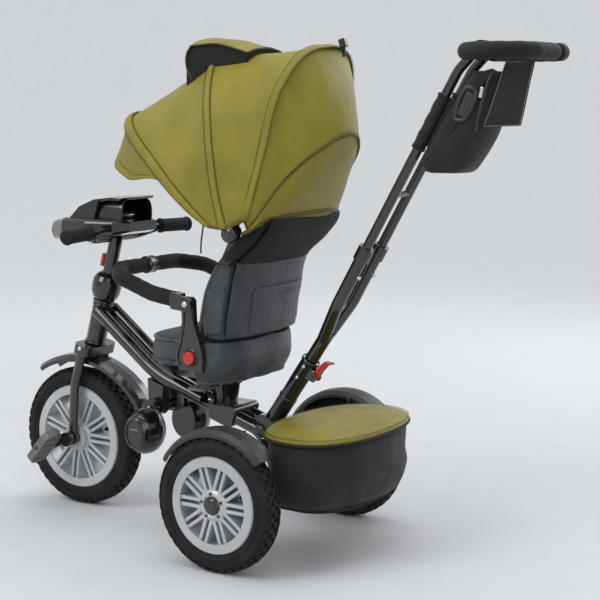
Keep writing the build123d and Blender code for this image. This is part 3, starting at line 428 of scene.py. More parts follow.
# ------------------------------------------------------------ tyres and wheels
def tyre(name, node, centre, r_in, r_out, hw, rows_n, body):
    prof = [(r_in - 2, -hw + 9), (r_in + 3, -hw + 4.5), (r_in + 10, -hw + 0.6), (r_out - 20, -hw), (r_out - 13, -hw + 1.5), (r_out - 7, -hw + 5), (r_out - 4, -hw + 12),
            (r_out - 3.2, 0), (r_out - 4, hw - 12), (r_out - 7, hw - 5), (r_out - 13, hw - 1.5), (r_out - 20, hw), (r_in + 10, hw - 0.6), (r_in + 3, hw - 4.5), (r_in - 2, hw - 9)]
    o = revolve(name, prof, centre, (1, 0, 0), "tyre", body, seg=96, closed=False, slot="tyre")
    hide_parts(node)
    items = []
    for i in range(rows_n):
        for x, w, off, r, lean in ((0, 5.2, 0, r_out - 1.5, 0), (hw * 0.45, 4.6, 0.5, r_out - 1.9, 0.25), (-hw * 0.45, 4.6, 0.5, r_out - 1.9, -0.25), (hw * 0.78, 3.2, 0, r_out - 5.6, 0.75), (-hw * 0.78, 3.2, 0, r_out - 5.6, -0.75)):
            a = 2 * math.pi * (i + off) / rows_n
            rad = Vector((0, math.cos(a), math.sin(a)))
            tan = Vector((0, -math.sin(a), math.cos(a)))
            up = (rad * math.cos(lean) + Vector((1, 0, 0)) * math.sin(lean)).normalized()
            side = tan.cross(up).normalized()
            c = centre + Vector((x / 1000, 0, 0)) + rad * (r / 1000)
            items.append((c, tan, side, up, (math.pi * r / rows_n * 0.62 / 1000, w / 1000, 0.0016)))
    boxes(name + "_knobs", items, "tyre", body, bevel=0.0007, slot="tyre")
    # moulded line and valve side ring
    for s in (1, -1):
        for rr, hh in ((r_out - 24, 0.9), (r_in + 14, 0.8)):
            revolve(f"{name}_ring_{'l' if s > 0 else 'r'}_{int(rr)}", [(rr - 1.2, s * (hw - 1.0)), (rr, s * (hw + hh)), (rr + 1.2, s * (hw - 1.0))], centre, (1, 0, 0), "tyre", body, seg=96, closed=False, slot="tyre")
    return o


REAR_L, REAR_R_, FRONT = P(226.1, 0, 127.5), P(-226.1, 0, 127.5), P(0, -518.8, 146.5)
tyre("tyre_rear_left", "rear_tyre_left", REAR_L, 88, 127.4, 23.4, 40, "wheel_left")
tyre("tyre_rear_right", "rear_tyre_right", REAR_R_, 88, 127.4, 23.4, 40, "wheel_right")
tyre("tyre_front", "front_tyre", FRONT, 107, 146.4, 24.3, 46, "front_wheel")


def wheel_trim(tag, centre, r, hub_r, spokes, sx, hw, body):
    """Bevelled spoke faces, hub ring and rim lips over the plain wheel."""
    prof = [(r - 14, hw - 4), (r - 12, hw + 0.6), (r - 9, hw + 1.6), (r + 0.5, hw + 1.4), (r + 2.4, hw - 1)]
    revolve(f"rim_lip_{tag}", [(a, sx * b) for a, b in prof], centre, (1, 0, 0), "silver", body, seg=96, closed=False, slot="silver")
    revolve(f"hub_face_{tag}", [(a, sx * b) for a, b in [(18, hw - 2), (19, hw + 2.2), (hub_r - 3, hw + 1.4), (hub_r + 3, hw - 1), (hub_r + 5, hw - 5)]], centre, (1, 0, 0), "silver", body, seg=64, closed=False, slot="silver")
    rows = []
    for i in range(spokes):
        a = 2 * math.pi * i / spokes
        for off in (6.4, -6.4):
            rad = Vector((0, math.cos(a), math.sin(a)))
            tan = Vector((0, -math.sin(a), math.cos(a)))
            rows.append((centre + rad * ((r + hub_r - 8) / 2000) + tan * off / 1000 + Vector((sx * (hw - 4.5) / 1000, 0, 0)), rad, tan, Vector((1, 0, 0)), ((r - hub_r - 4) / 2000, 0.0034, 0.004)))
    boxes(f"spoke_faces_{tag}", rows, "silver", body, bevel=0.0016, slot="silver")


wheel_trim("rear_left", REAR_L, 88, 26, 10, 1, 21.0, "wheel_left")
wheel_trim("rear_right", REAR_R_, 88, 26, 10, -1, 21.0, "wheel_right")
wheel_trim("front_l", FRONT, 107, 28, 11, 1, 21.5, "front_wheel")
wheel_trim("front_r", FRONT, 107, 28, 11, -1, 21.5, "front_wheel")
for tag, c, s, body in (("left", REAR_L, 1, "wheel_left"), ("right", REAR_R_, -1, "wheel_right")):
    for k in range(5):
        a = 2 * math.pi * k / 5 + 0.4
        screw(f"hub_bolt_{tag}_{k}", c + Vector((s * 0.0225, 0.0226 * math.cos(a), 0.0226 * math.sin(a))), (s, 0, 0), 3.2, 2.0, "black_gloss", body)
    revolve(f"cap_dome_{tag}", [(0.05, 27), (8, 26.4), (13.5, 24.6), (15.6, 21.5), (0.05, 21.5)], c, (s, 0, 0), "black_gloss", body, seg=40)
tube("valve_front", [FRONT + Vector((0.012, 0.082, 0.052)), FRONT + Vector((0.016, 0.072, 0.046))], 0.0022, "black_gloss", "front_wheel", seg=10)

# ------------------------------------------------------------ canopy
CY, CZ = -30.0, 617.0
ARCH = [(17.8, 383.1, 148.8, 2.3), (32.1, 391.8, 161.0, 2.0), (70.3, 349.2, 158.6, 1.8), (109.2, 357.0, 146.0, 3.2), (133.6, 248.0, 132.0, 1.9), (166.0, 86.0, 142.0, 3.0)]
FEET = [(-12, -46, 6), (-14, -44, 5), (-4, -8, 3), (4, 27, 3), (8, 34, 3), (4, 20, -4)]


def arch_pt(angle, radius, half, n, t, inset=0.0):
    a, q = math.radians(angle), math.radians(t)
    c, s = math.cos(q), math.sin(q)
    cx = math.copysign(abs(c) ** (2 / n), c)
    sx = abs(s) ** (2 / n)
    r = (radius - inset) * sx
    return P((half - inset) * cx, CY - r * math.cos(a), CZ + r * math.sin(a))


T_STEPS = 120


def skin_pt(k, t):
    """A point of arch k, with its foot drawn out along the hem."""
    p = arch_pt(*ARCH[k], t)
    side = 1 if t <= 90 else -1
    u = min(1.0, (t if t <= 90 else 180 - t) / 42.0)
    w = (1 - u * u * (3 - 2 * u))
    dx, dy, dz = FEET[k]
    q = p + Vector((side * dx, dy, dz)) * (w / 1000)
    if k == 0:
        # the visor is only as wide as the front of the bow
        b = skin_pt(1, t)
        e = t if t <= 90 else 180 - t
        f = min(1.0, max(0.0, (e - 21) / 24.0))
        f = f * f * (3 - 2 * f)
        q = b.lerp(q, max(f, 0.02))
    return q


def t_at(j, t0=0.6):
    return t0 + (180 - 2 * t0) * j / T_STEPS


PER = 14
canopy_rows, arch_row = [], []
for bi in range(len(ARCH) - 1):
    A, B = ARCH[bi], ARCH[bi + 1]
    count = PER
    for k in range(count + (1 if bi == len(ARCH) - 2 else 0)):
        w = k / count
        row = []
        for j in range(T_STEPS + 1):
            t = t_at(j)
            pa, pb = skin_pt(bi, t), skin_pt(bi + 1, t)
            p = pa.lerp(pb, w)
            rad = (p - P(0, CY, CZ))
            far = rad.length
            rad = rad.normalized()
            span = (pb - pa).length
            # the skin is drawn in between the bows
            sag = -0.030 * span * abs(math.sin(math.pi * w)) ** 0.8 * (1.0, 1.0, 0.9, -1.6, -0.8)[bi]
            if bi == 0:
                sag *= 0.3
            # soft creases, stronger towards the rear and low on the sides
            low = 1 - math.sin(math.radians(t)) ** 0.6
            crease = noise.noise(Vector((p.x * 9 + 3, p.y * 16, p.z * 9))) * 0.0022
            crease += noise.noise(Vector((p.x * 30, p.y * 9 + 7, p.z * 22))) * 0.0012
            crease *= (0.45 if bi < 3 else 1.7) + 0.8 * low
            # radiating folds close to the pivots
            fold = math.sin(math.radians(ARCH[bi][0] + (ARCH[bi + 1][0] - ARCH[bi][0]) * w) * 24 + noise.noise(p * 20) * 2) * 0.0016 * max(0.0, 1 - far / 0.22)
            row.append(p + rad * (sag + crease + fold))
        canopy_rows.append(row)
    arch_row.append(bi * PER)


def fold_skin(name, rows, how, material="olive", **k):
    """One panel of the canopy: it rides a bow, or stays fixed in place between two with its transform baked."""
    o = surface(name, rows, material, how if how in ("backrest", "canopy_front", "canopy_middle") else None, slot=k.pop("slot", "olive"), **k)
    if how == "front":
        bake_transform(o)
    if how == "middle":
        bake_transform(o)
    return o


PANELS = [("canopy_visor", 0, arch_row[1], "canopy_front"), ("canopy_front_panel", arch_row[1], arch_row[2], "front"), ("canopy_middle_panel", arch_row[2], arch_row[3], "middle"), ("canopy_rear_panel", arch_row[3], len(canopy_rows) - 1, "backrest")]
panel_objs = []
for pname, a, b, how in PANELS:
    rows_p = canopy_rows[a:b + 1]
    o = fold_skin(pname, rows_p, how, solid=0.0016)
    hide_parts("canopy_fabric")
    panel_objs.append((o, rows_p))


def row_body(i):
    return "canopy_front" if i <= arch_row[1] + 1 else "canopy_middle" if i <= arch_row[2] + 1 else "backrest"


def seam(name, row_index, width, height, material, offset=0.0, pucker=0.0, j0=0, j1=T_STEPS):
    """A raised casing or piping that follows one row of the canopy."""
    rows = []
    for j in range(j0, j1 + 1):
        p = canopy_rows[row_index][j]
        nx = canopy_rows[min(row_index + 1, len(canopy_rows) - 1)][j]
        pv = canopy_rows[max(row_index - 1, 0)][j]
        along = (nx - pv).normalized()
        up = (p - P(0, CY, CZ)).normalized()
        up = (up - along * up.dot(along)).normalized()
        c = p + along * offset
        pk = 1 + pucker * math.sin(j * 2.2) * 0.5
        rows.append([c - along * width * 0.5 + up * 0.0008, c - along * width * 0.30 + up * height * pk, c + up * height * 1.15 * pk, c + along * width * 0.30 + up * height * pk, c + along * width * 0.5 + up * 0.0008])
    return surface(name, rows, material, row_body(row_index), solid=0.0008, slot="olive")


seam("canopy_visor_edge", 1, 0.008, 0.0018, "olive", pucker=0.2, j0=16, j1=T_STEPS - 16)
seam("canopy_casing_front", arch_row[1], 0.021, 0.0042, "olive", pucker=0.7)
seam("canopy_casing_middle", arch_row[2], 0.015, 0.0032, "olive", pucker=0.2)
seam("canopy_casing_rear", arch_row[3], 0.015, 0.0032, "olive", pucker=0.2)
seam("canopy_piping_rear", arch_row[4], 0.007, 0.0034, "olive_dark")
seam("canopy_hem_rear", len(canopy_rows) - 2, 0.010, 0.0025, "olive_dark", pucker=0.3)
for tag, ri, off in (("front_a", arch_row[1], 0.012), ("front_b", arch_row[1], -0.012), ("mid_a", arch_row[2], 0.009), ("mid_b", arch_row[2], -0.009), ("rear_a", arch_row[3], 0.0095), ("rear_b", arch_row[3], -0.0095), ("visor", 3, 0.0)):
    pts = []
    for j in range(2, T_STEPS - 1):
        p = canopy_rows[ri][j]
        along = (canopy_rows[ri + 1][j] - canopy_rows[ri - 1][j]).normalized()
        up = (p - P(0, CY, CZ)).normalized()
        up = (up - along * up.dot(along)).normalized()
        pts.append(p + along * off + up * 0.0014)
    stitches(f"canopy_stitch_{tag}", pts, 0.0042, 0.00045, row_body(ri), material="olive_dark", lift=Vector((0, 0, 1)))

# side hem that closes the lower edge, near and far
for tag, j in (("left", 0), ("right", T_STEPS)):
    for pname, a, b, how in PANELS:
        path = [r[j] for r in canopy_rows[a:b + 1]]
        o = tube(f"{pname}_hem_{tag}", path, 0.0024, "olive_dark", how if how in ("backrest", "canopy_front", "canopy_middle") else None, seg=10)
        if how == "front":
            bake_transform(o)
        if how == "middle":
            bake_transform(o)

# window flap, rolled and folded back over the top
def top_z(x, y):
    """Height of the canopy skin near a point, in mm."""
    q = P(x, y, 0)
    best, z = 1e9, 0.0
    for r in canopy_rows[::2]:
        for p in r[20:-20:2]:
            d = (p.x - q.x) ** 2 + (p.y - q.y) ** 2
            if d < best:
                best, z = d, p.z
    return z * 1000


flap_line = [(-50, 955), (-72, 961), (-96, 967), (-120, 971), (-144, 973), (-166, 974), (-182, 973), (-194, 968), (-202, 958), (-205, 945), (-203, 932), (-197, 921), (-190, 914)]
fpath = smooth_path([P(0, y, z) for y, z in flap_line], 4)
flap_rows = []
for i, p in enumerate(fpath):
    u = i / (len(fpath) - 1)
    row = []
    for j in range(25):
        v = j / 12 - 1
        half = 60 - 8 * u
        lift = 0.0
        x = half * v
        drop = (7 + 10 * u * u) * abs(v) ** 3 + 3 * abs(v)
        q = p + Vector((x / 1000, 0.006 * abs(v) ** 2 * (u > 0.55), -drop / 1000))
        q.z += noise.noise(Vector((x * 0.03, i * 0.12, 1.0))) * 0.0028
        row.append(q)
    flap_rows.append(row)
flap_obj = fold_skin("window_flap", flap_rows, "middle", solid=0.002, subsurf=1)
for s, tag in ((1, "left"), (-1, "right")):
    col = 24 if s > 0 else 0
    edge = [r[col] for r in flap_rows]
    fo = tube(f"flap_edge_{tag}", edge, 0.0016, "olive_dark", None, seg=8)
    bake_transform(fo)
    skirt = []
    for i, p in enumerate(edge[:44]):
        zb = min(top_z((p.x * 1000), (p.y * 1000) - SHIFT) - 2, p.z * 1000 - 1)
        q = Vector((p.x - s * 0.003, p.y, p.z))
        skirt.append([q.lerp(Vector((q.x, q.y, zb / 1000)), k / 3) for k in range(4)])
    fold_skin(f"window_mesh_{tag}", skirt, "middle", "mesh", solid=0.0012, slot="nylon")
rear = flap_rows[0]
surface("window_mesh_rear", [[Vector((p.x, p.y - 0.002 * k, p.z - 0.006 * k)) for p in rear] for k in range(3)], "mesh", "backrest", solid=0.0012, slot="nylon")
tube("flap_edge_rear", rear, 0.0018, "olive_dark", "backrest", seg=8)

# plastic clip at the rear of the top
boxes("canopy_clip", [(P(-22, 108, 962), Vector((1, 0, 0)), Vector((0, 0.9, 0.3)), Vector((0, -0.3, 0.9)), (0.006, 0.007, 0.009)), (P(-22, 110, 950), Vector((1, 0, 0)), Vector((0, 1, 0)), Vector((0, 0, 1)), (0.003, 0.003, 0.014))], "black_gloss", "backrest", bevel=0.002)

# drawstring from the front corner
cu = bpy.data.curves.new("drawstring", "CURVE")
cu.dimensions = "3D"
sp = cu.splines.new("NURBS")
cp = [P(148, -89, 631), P(148.8, -90, 621), P(149.3, -91.2, 611), P(149.1, -93, 601), P(148.7, -94.6, 592), P(149.2, -94.6, 583), P(150, -94, 574)]
sp.points.add(len(cp) - 1)
for q, c in zip(sp.points, cp):
    q.co = (*c, 1)
sp.order_u = 3
sp.use_endpoint_u = True
cu.bevel_depth = 0.0015
cu.bevel_resolution = 4
cu.use_fill_caps = True
cord = bpy.data.objects.new("drawstring_cord", cu)
bpy.context.scene.collection.objects.link(cord)
cu.materials.append(M["strap"])
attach(cord, "backrest")
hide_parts("canopy_drawstring")

# ------------------------------------------------------------ seat and backrest
def shell_rows(levels, n=2.6, seg=64):
    rows = []
    for z, cx, cy, a, b in levels:
        row = []
        for j in range(seg):
            q = 2 * math.pi * j / seg
            c, s = math.cos(q), math.sin(q)
            x = cx + a * math.copysign(abs(c) ** (2 / n), c)
            y = cy + b * math.copysign(abs(s) ** (2 / n), s)
            row.append(P(x, y, z))
        rows.append(row)
    return rows


def pillow(name, levels, material, body, slot, puff=0.003, n=2.8, seed=0.0, **k):
    rows = shell_rows(levels, n)
    out = []
    for i, r in enumerate(rows):
        out.append([p + Vector((0, 0, 1)) * wobble(p, 14, puff, seed) + Vector((wobble(p, 24, puff * 0.4, 3 + seed), wobble(p, 24, puff * 0.4, 5 + seed), 0)) for p in r])
    o = surface(name, out, material, body, close_u=True, cap=True, subsurf=1, slot=slot, **k)
    return o


seat = pillow("seat_cover", [(352, 0, -168, 128, 92), (360, 0, -172, 133, 98), (374, 0, -172, 133, 99), (390, 0, -173, 130, 95), (402, 0, -174, 124, 88), (409, 0, -175, 112, 76), (411, 0, -176, 90, 56), (408, 0, -178, 50, 30), (406, 0, -178, 10, 6)], "grey_cloth", "seat", "grey_cloth", puff=0.004)
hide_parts("seat_cushion")
rear_rows = []
for i in range(15):
    u = i / 14
    z = 403 - 79 * u
    out = 7 * math.sin(math.pi * min(1, u * 1.05)) - 10 * max(0, u - 0.75) * 4 * max(0, u - 0.75)
    row = []
    for j in range(61):
        qd = math.radians(-8 + 196 * j / 60)
        c, sn = math.cos(qd), math.sin(qd)
        x = (128 + out) * math.copysign(abs(c) ** (2 / 3.0), c)
        y = -104 + (52 + out * 1.4) * math.copysign(abs(sn) ** (2 / 2.3), sn) - 8 * u
        p = P(x, y, z)
        row.append(p + Vector((wobble(p, 26, 0.005, 1), wobble(p, 22, 0.005, 2), wobble(p, 20, 0.003, 3))))
    rear_rows.append(row)
rear_cover = surface("seat_rear_cover", rear_rows, "grey_cloth", "seat", solid=0.003, subsurf=1, slot="grey_cloth")
tube("seat_rear_hem", rear_rows[-1], 0.0026, "piping", "seat", seg=8)
tube("seat_rear_edge_left", [r[0] for r in rear_rows], 0.0028, "piping", "seat", seg=8)
tube("seat_rear_edge_right", [r[-1] for r in rear_rows], 0.0028, "piping", "seat", seg=8)
rim_pts = [p for p in shell_rows([(399, 0, -174, 127.5, 91.5)], 2.8)[0]]
tube("seat_cover_piping", rim_pts + [rim_pts[0]], 0.0026, "piping", "seat", seg=10)
low_pts = [p for p in shell_rows([(357, 0, -171, 131.5, 96)], 2.8)[0]]
tube("seat_cover_hem", low_pts + [low_pts[0]], 0.003, "grey_cloth", "seat", seg=10)


def wing(name, stations, material, body, slot, puff=0.003, back=0.0, wing_x=100, seg=15, **k):
    """A padded back panel: at each station (rear point, front point) a U-shaped section with side wings."""
    rows = []
    for (yr, zr), (yf, zf), half in stations:
        row = []
        n = 26
        for j in range(n + 1):                      # rear face, left to right
            x = half - 2 * half * j / n
            bulge = 1 - (x / half) ** 2
            row.append(P(x, yr + 5 * bulge, zr - 2 * bulge))
        for j in range(5):                          # far edge round to the front
            a = math.pi * (j + 0.5) / 5
            row.append(P(-half - 5 * math.sin(a), yr + (yf - yr) * (1 - math.cos(a)) / 2, zr + (zf - zr) * (1 - math.cos(a)) / 2))
        for j in range(n + 1):                      # front face, right to left
            x = -half + 2 * half * j / n
            k2 = min(1.0, max(0.0, (abs(x) - wing_x + 26) / 30))
            k2 = k2 * k2 * (3 - 2 * k2)
            w = 0.48 + 0.52 * k2
            row.append(P(x, yr + (yf - yr) * w, zr + (zf - zr) * w))
        for j in range(5):
            a = math.pi * (j + 0.5) / 5
            row.append(P(half + 5 * math.sin(a), yf + (yr - yf) * (1 - math.cos(a)) / 2, zf + (zr - zf) * (1 - math.cos(a)) / 2))
        rows.append(row)
    fine = []
    for i in range(len(rows) - 1):
        p0, p1, p2, p3 = rows[max(i - 1, 0)], rows[i], rows[i + 1], rows[min(i + 2, len(rows) - 1)]
        for s in range(6):
            t = s / 6
            fine.append([0.5 * ((2 * b) + (c - a) * t + (2 * a - 5 * b + 4 * c - d) * t * t + (3 * b - a - 3 * c + d) * t ** 3) for a, b, c, d in zip(p0, p1, p2, p3)])
    fine.append(rows[-1])
    fine = [[p + Vector((wobble(p, 20, puff * 0.5, 2), wobble(p, 16, puff, 4), wobble(p, 18, puff * 0.6, 6))) for p in r] for r in fine]
    return surface(name, fine, material, body, close_u=True, cap=True, subsurf=1, slot=slot, **k)


lower = wing("back_cover_soft", [((-66, 408), (-112, 410), 122), ((-62, 430), (-111, 434), 127), ((-60, 458), (-106, 466), 128), ((-55, 486), (-100, 496), 128), ((-49, 512), (-90, 524), 127), ((-42, 540), (-74, 549), 127), ((-40, 551), (-69, 556), 126)], "grey_cloth", "backrest", "grey_cloth", puff=0.0045)
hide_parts("back_cover")
upper = wing("back_mesh_soft", [((-41, 551), (-70, 555), 126), ((-28, 566), (-56, 570), 128), ((-10, 582), (-38, 588), 128), ((6, 596), (-18, 606), 128), ((24, 618), (2, 628), 126), ((38, 634), (18, 642), 122), ((43, 640), (32, 646), 114)], "mesh", "backrest", "nylon", puff=0.0025)
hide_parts("back_mesh_panel")


def declare_sheet(o, rows):
    """Prints a cloth's size: widest run by longest run, and its area, kept between 0.31 and 1 times their product."""
    wide = max(sum((r[k + 1] - r[k]).length for k in range(len(r) - 1)) for r in rows)
    long_ = max(sum((rows[i + 1][j] - rows[i][j]).length for i in range(len(rows) - 1)) for j in range(len(rows[0])))
    ar = 0.0
    for i in range(len(rows) - 1):
        for j in range(len(rows[0]) - 1):
            a, b, c, d = rows[i][j], rows[i][j + 1], rows[i + 1][j + 1], rows[i + 1][j]
            ar += ((b - a).cross(c - a).length + (c - a).cross(d - a).length) / 2
    ar = min(max(ar, 0.31 * wide * long_), wide * long_)
    print("SHEET", o.name, round(wide * 1000), round(long_ * 1000), round(ar, 4))


for o, rows_p in panel_objs:
    declare_sheet(o, rows_p)
declare_sheet(flap_obj, flap_rows)
declare_sheet(rear_cover, rear_rows)


def rear_panel(name, levels, material, slot, puff):
    rows = []
    ys = smooth_path([P(0, y, z) for y, z in levels], 5)
    for q in ys:
        row = []
        for k in range(31):
            v = k / 15 - 1
            y = 0.005 - 0.013 * abs(v) ** 3.5
            p = Vector((0.121 * v, q.y + y, q.z + 0.004 * abs(v) ** 3))
            row.append(p + Vector((0, wobble(p, 20, puff, 5), 0)))
        rows.append(row)
    o = surface(name, rows, material, "backrest", solid=0.0025, subsurf=1, slot=slot)
    declare_sheet(o, rows)
    return o


rear_low = rear_panel("back_rear_cloth", [(-52, 409), (-49, 430), (-46, 452), (-41, 480), (-36, 507), (-31, 530), (-24, 551)], "grey_cloth", "grey_cloth", 0.0035)
rear_up = rear_panel("back_rear_mesh", [(-24, 551), (-12, 563), (4, 576), (17, 588), (32, 604), (44, 618), (50, 630), (50, 640)], "mesh", "nylon", 0.0015)
pk_rows = []
for q in smooth_path([P(0, y, z) for y, z in [(-52, 412), (-49, 430), (-46, 452), (-41, 480), (-37, 500)]], 4):
    row = []
    for k in range(21):
        x = 63 - 173 * k / 20
        p = P(x, 0, 0)
        p.y, p.z = q.y + 0.0072 - 0.013 * abs(x / 121) ** 3.5 + 0.0035 * math.sin(math.pi * k / 20), q.z + 0.004 * abs(x / 121) ** 3
        row.append(p + Vector((0, wobble(p, 26, 0.0012, 7), 0)))
    pk_rows.append(row)
pk = surface("back_rear_pocket", pk_rows, "grey_cloth", "backrest", solid=0.002, subsurf=1, slot="grey_cloth")
declare_sheet(pk, pk_rows)
tube("rear_pocket_top", pk_rows[-1], 0.0020, "piping", "backrest", seg=8)
tube("rear_pocket_side", [r[0] for r in pk_rows], 0.0018, "piping", "backrest", seg=8)
stitches("rear_pocket_stitch", [p + Vector((0, 0.0014, 0)) for p in pk_rows[-4]], 0.0045, 0.0004, "backrest", material="piping", lift=Vector((0, 1, 0)))
zz2 = [P(121 * (k / 60 - 1), -26 + 8.0 - 13 * abs(k / 60 - 1) ** 3.5, 555 + 4 * abs(k / 60 - 1) ** 3) for k in range(121)]
stitches("back_rear_zigzag", zz2, 0.006, 0.0006, "backrest", material="strap", zig=0.6, lift=Vector((0, 1, 0)))
tube("back_rear_seam", [P(121 * (k / 15 - 1), -26 + 6.5 - 13 * abs(k / 15 - 1) ** 3.5, 551 + 4 * abs(k / 15 - 1) ** 3) for k in range(31)], 0.0022, "piping", "backrest", seg=8)

# zig-zag seam between the mesh and the grey cover, piping on the front edge, tape band and pocket
zz = [P(133.2, -74 + 36 * k / 14, 553 + 1.5 * k / 14) for k in range(15)] + [P(130 - 260 * k / 40, -35.5 + 5 * (1 - ((130 - 260 * k / 40) / 130) ** 2), 553) for k in range(41)]
stitches("back_zigzag", zz, 0.006, 0.0006, "backrest", material="strap", zig=0.6, lift=Vector((0, 0, 1)))
for s, tag in ((1, "left"), (-1, "right")):
    edge = smooth_path([P(s * 129, -113, 413), P(s * 130, -110, 440), P(s * 130, -105, 468), P(s * 129.5, -98, 498), P(s * 128, -86, 527), P(s * 128, -70, 553)], 8)
    tube(f"back_piping_{tag}", edge, 0.0030, "piping", "backrest", seg=10)
    edge2 = smooth_path([P(s * 128, -70, 553), P(s * 130, -45, 578), P(s * 130, -16, 605), P(s * 126, 10, 634), P(s * 118, 30, 645)], 8)
    tube(f"mesh_piping_{tag}", edge2, 0.0028, "strap", "backrest", seg=10)
    # side pocket that wraps the cover
    pr = []
    for i in range(9):
        u = i / 8
        z = 420 + 76 * u
        yb = -66 + 14 * u
        pr.append([P(s * (130.5 + 3.5 * math.sin(math.pi * v / 10)), yb - 38 + 40 * v / 10 - 3 * u, z + 1.6 * v * u) for v in range(11)])
    surface(f"side_pocket_{tag}", pr, "grey_cloth", "backrest", solid=0.002, subsurf=1, slot="grey_cloth")
    top = pr[-1]
    tube(f"pocket_band_{tag}", [p + Vector((s * 0.0006, 0, 0)) for p in top], 0.0018, "piping", "backrest", seg=8)
    stitches(f"pocket_stitch_{tag}", [p + Vector((s * 0.0022, 0, -0.010)) for p in top], 0.0045, 0.0004, "backrest", material="piping", lift=Vector((1, 0, 0)))
    stitches(f"pocket_side_{tag}", [r[0] + Vector((s * 0.0018, 0.003, 0)) for r in pr], 0.0045, 0.0004, "backrest", material="piping", lift=Vector((1, 0, 0)))
    # padded shoulder strap
    sp_path = smooth_path([P(s * 46, -92, 420), P(s * 46, -97, 446), P(s * 45, -89, 480), P(s * 44, -84, 512), P(s * 43, -66, 548), P(s * 42, -44, 574)], 7)
    rows = [[p + Vector((0.017 * math.cos(a), 0, 0)) + (Vector((0, -1, 0.25)).normalized()) * (0.0045 + 0.005 * math.sin(a)) for a in [2 * math.pi * j / 16 for j in range(16)]] for p in sp_path]
    st = surface(f"shoulder_pad_{tag}", rows, "nylon", "backrest", close_u=True, cap=True, subsurf=1, slot="nylon")
    if s > 0:
        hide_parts("harness")
    flat_strip(f"lap_strap_{tag}", smooth_path([P(s * 112, -104, 414), P(s * 88, -128, 420), P(s * 52, -146, 424), P(s * 20, -152, 425)], 7), (0, 0.3, 1), 0.024, "strap", "seat", slot="nylon")
boxes("harness_buckle", [(P(0, -152, 427), Vector((1, 0, 0)), Vector((0, 0.9, -0.3)).normalized(), Vector((0, 0.3, 0.9)).normalized(), (0.021, 0.018, 0.007))], "black_gloss", "seat", bevel=0.004)
screw("harness_button", P(0, -153, 434), (0, 0.3, 0.95), 9, 3.0, "red", "seat")
flat_strip("crotch_strap", smooth_path([P(0, -196, 409), P(0, -190, 418), P(0, -172, 426), P(0, -156, 428)], 6), (1, 0, 0), 0.03, "strap", "seat", thick=0.004, slot="nylon")

# black shell side with its teardrop opening and hub plates
for s, tag in ((1, "left"), (-1, "right")):
    revolve(f"recline_ring_{tag}", [(13.4, 0), (13.8, 2.6), (16.5, 2.6), (18.5, 0.4), (18.5, -1)], P(s * 143.6, -125, 372.5), (s, 0, 0), "black_gloss", "seat", seg=40, closed=False)
    screw(f"arm_screw_{tag}", P(s * 150.8, -133, 475), (s, 0, 0), 6.0, 2.4, "steel", "bumper")
    screw(f"shell_boss_{tag}", P(s * 126.5, -196, 357), (s, 0, 0), 6.5, 4.0, "black_gloss", "seat")
    rib = smooth_path([P(s * 144, -150, 356), P(s * 144, -156, 372), P(s * 144, -147, 404), P(s * 144, -141, 440), P(s * 144, -141, 470)], 8)
    tube(f"arm_rib_{tag}", rib, 0.0028, "black_gloss", "seat", seg=10)
    rib = smooth_path([P(s * 144, -100, 354), P(s * 144, -99, 372), P(s * 144, -106, 402), P(s * 144, -120, 440), P(s * 144, -123, 470)], 8)
    tube(f"arm_rib_b_{tag}", rib, 0.0028, "black_gloss", "seat", seg=10)
    revolve(f"canopy_cap_{tag}", [(0.05, 14.2), (6, 14.0), (11, 12.4), (15.8, 8), (16.6, 2), (16.6, 0), (0.05, 0)], P(s * 142.6, -30, 613), (s, 0, 0), "black_gloss", "backrest", seg=40)

# ------------------------------------------------------------ bumper and handle foam
def fillet_path(pts, radii, step=0.006):
    """Straight runs joined by arcs, sampled finely."""
    out = [pts[0]]
    for i in range(1, len(pts) - 1):
        a, b, c = pts[i - 1], pts[i], pts[i + 1]
        u, v = (a - b).normalized(), (c - b).normalized()
        ang = u.angle(v)
        d = radii[i - 1] / math.tan(ang / 2)
        p, q = b + u * d, b + v * d
        centre = b + (u + v).normalized() * (radii[i - 1] / math.sin(ang / 2))
        n = max(6, int((math.pi - ang) * radii[i - 1] / step))
        for k in range(n + 1):
            w = k / n
            m = p.lerp(q, w)
            out.append(centre + (m - centre).normalized() * radii[i - 1])
    out.append(pts[-1])
    dense = []
    for a, b in zip(out[:-1], out[1:]):
        n = max(1, int((b - a).length / step))
        dense += [a.lerp(b, k / n) for k in range(n)]
    dense.append(out[-1])
    return [p for i, p in enumerate(dense) if i == 0 or (p - dense[i - 1]).length > 1e-5]


def half_bumper(s):
    return fillet_path([P(s * 134, -166, 480), P(s * 138, -222, 489), P(s * 138, -300, 515), P(s * 94, -338, 524), P(s * 14, -338, 524)], [0.070, 0.032, 0.040])


for s, tag in ((1, "left"), (-1, "right")):
    hb = half_bumper(s)
    o = tube(f"bumper_pad_{tag}", hb, 0.0152, "foam", "bumper", seg=24, radius=lambda i, n, a: 0.0152 * (1 - 0.10 * math.exp(-((n - 1 - i) / 2.0) ** 2)) + 0.00035 * math.sin(i * 1.7), slot="foam")
    if s > 0:
        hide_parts("bumper_foam")
    stitches(f"bumper_seam_{tag}", [p + Vector((0, 0, -0.0154)) for p in hb[6:-3]], 0.006, 0.0005, "bumper", material="strap")
for x in (-9, 9):
    revolve(f"coupling_band_{'a' if x < 0 else 'b'}", [(16.2, -2.5), (17.6, -1.8), (17.6, 1.8), (16.2, 2.5)], P(x, -338, 524), (1, 0, 0), "black_gloss", "bumper", seg=40)

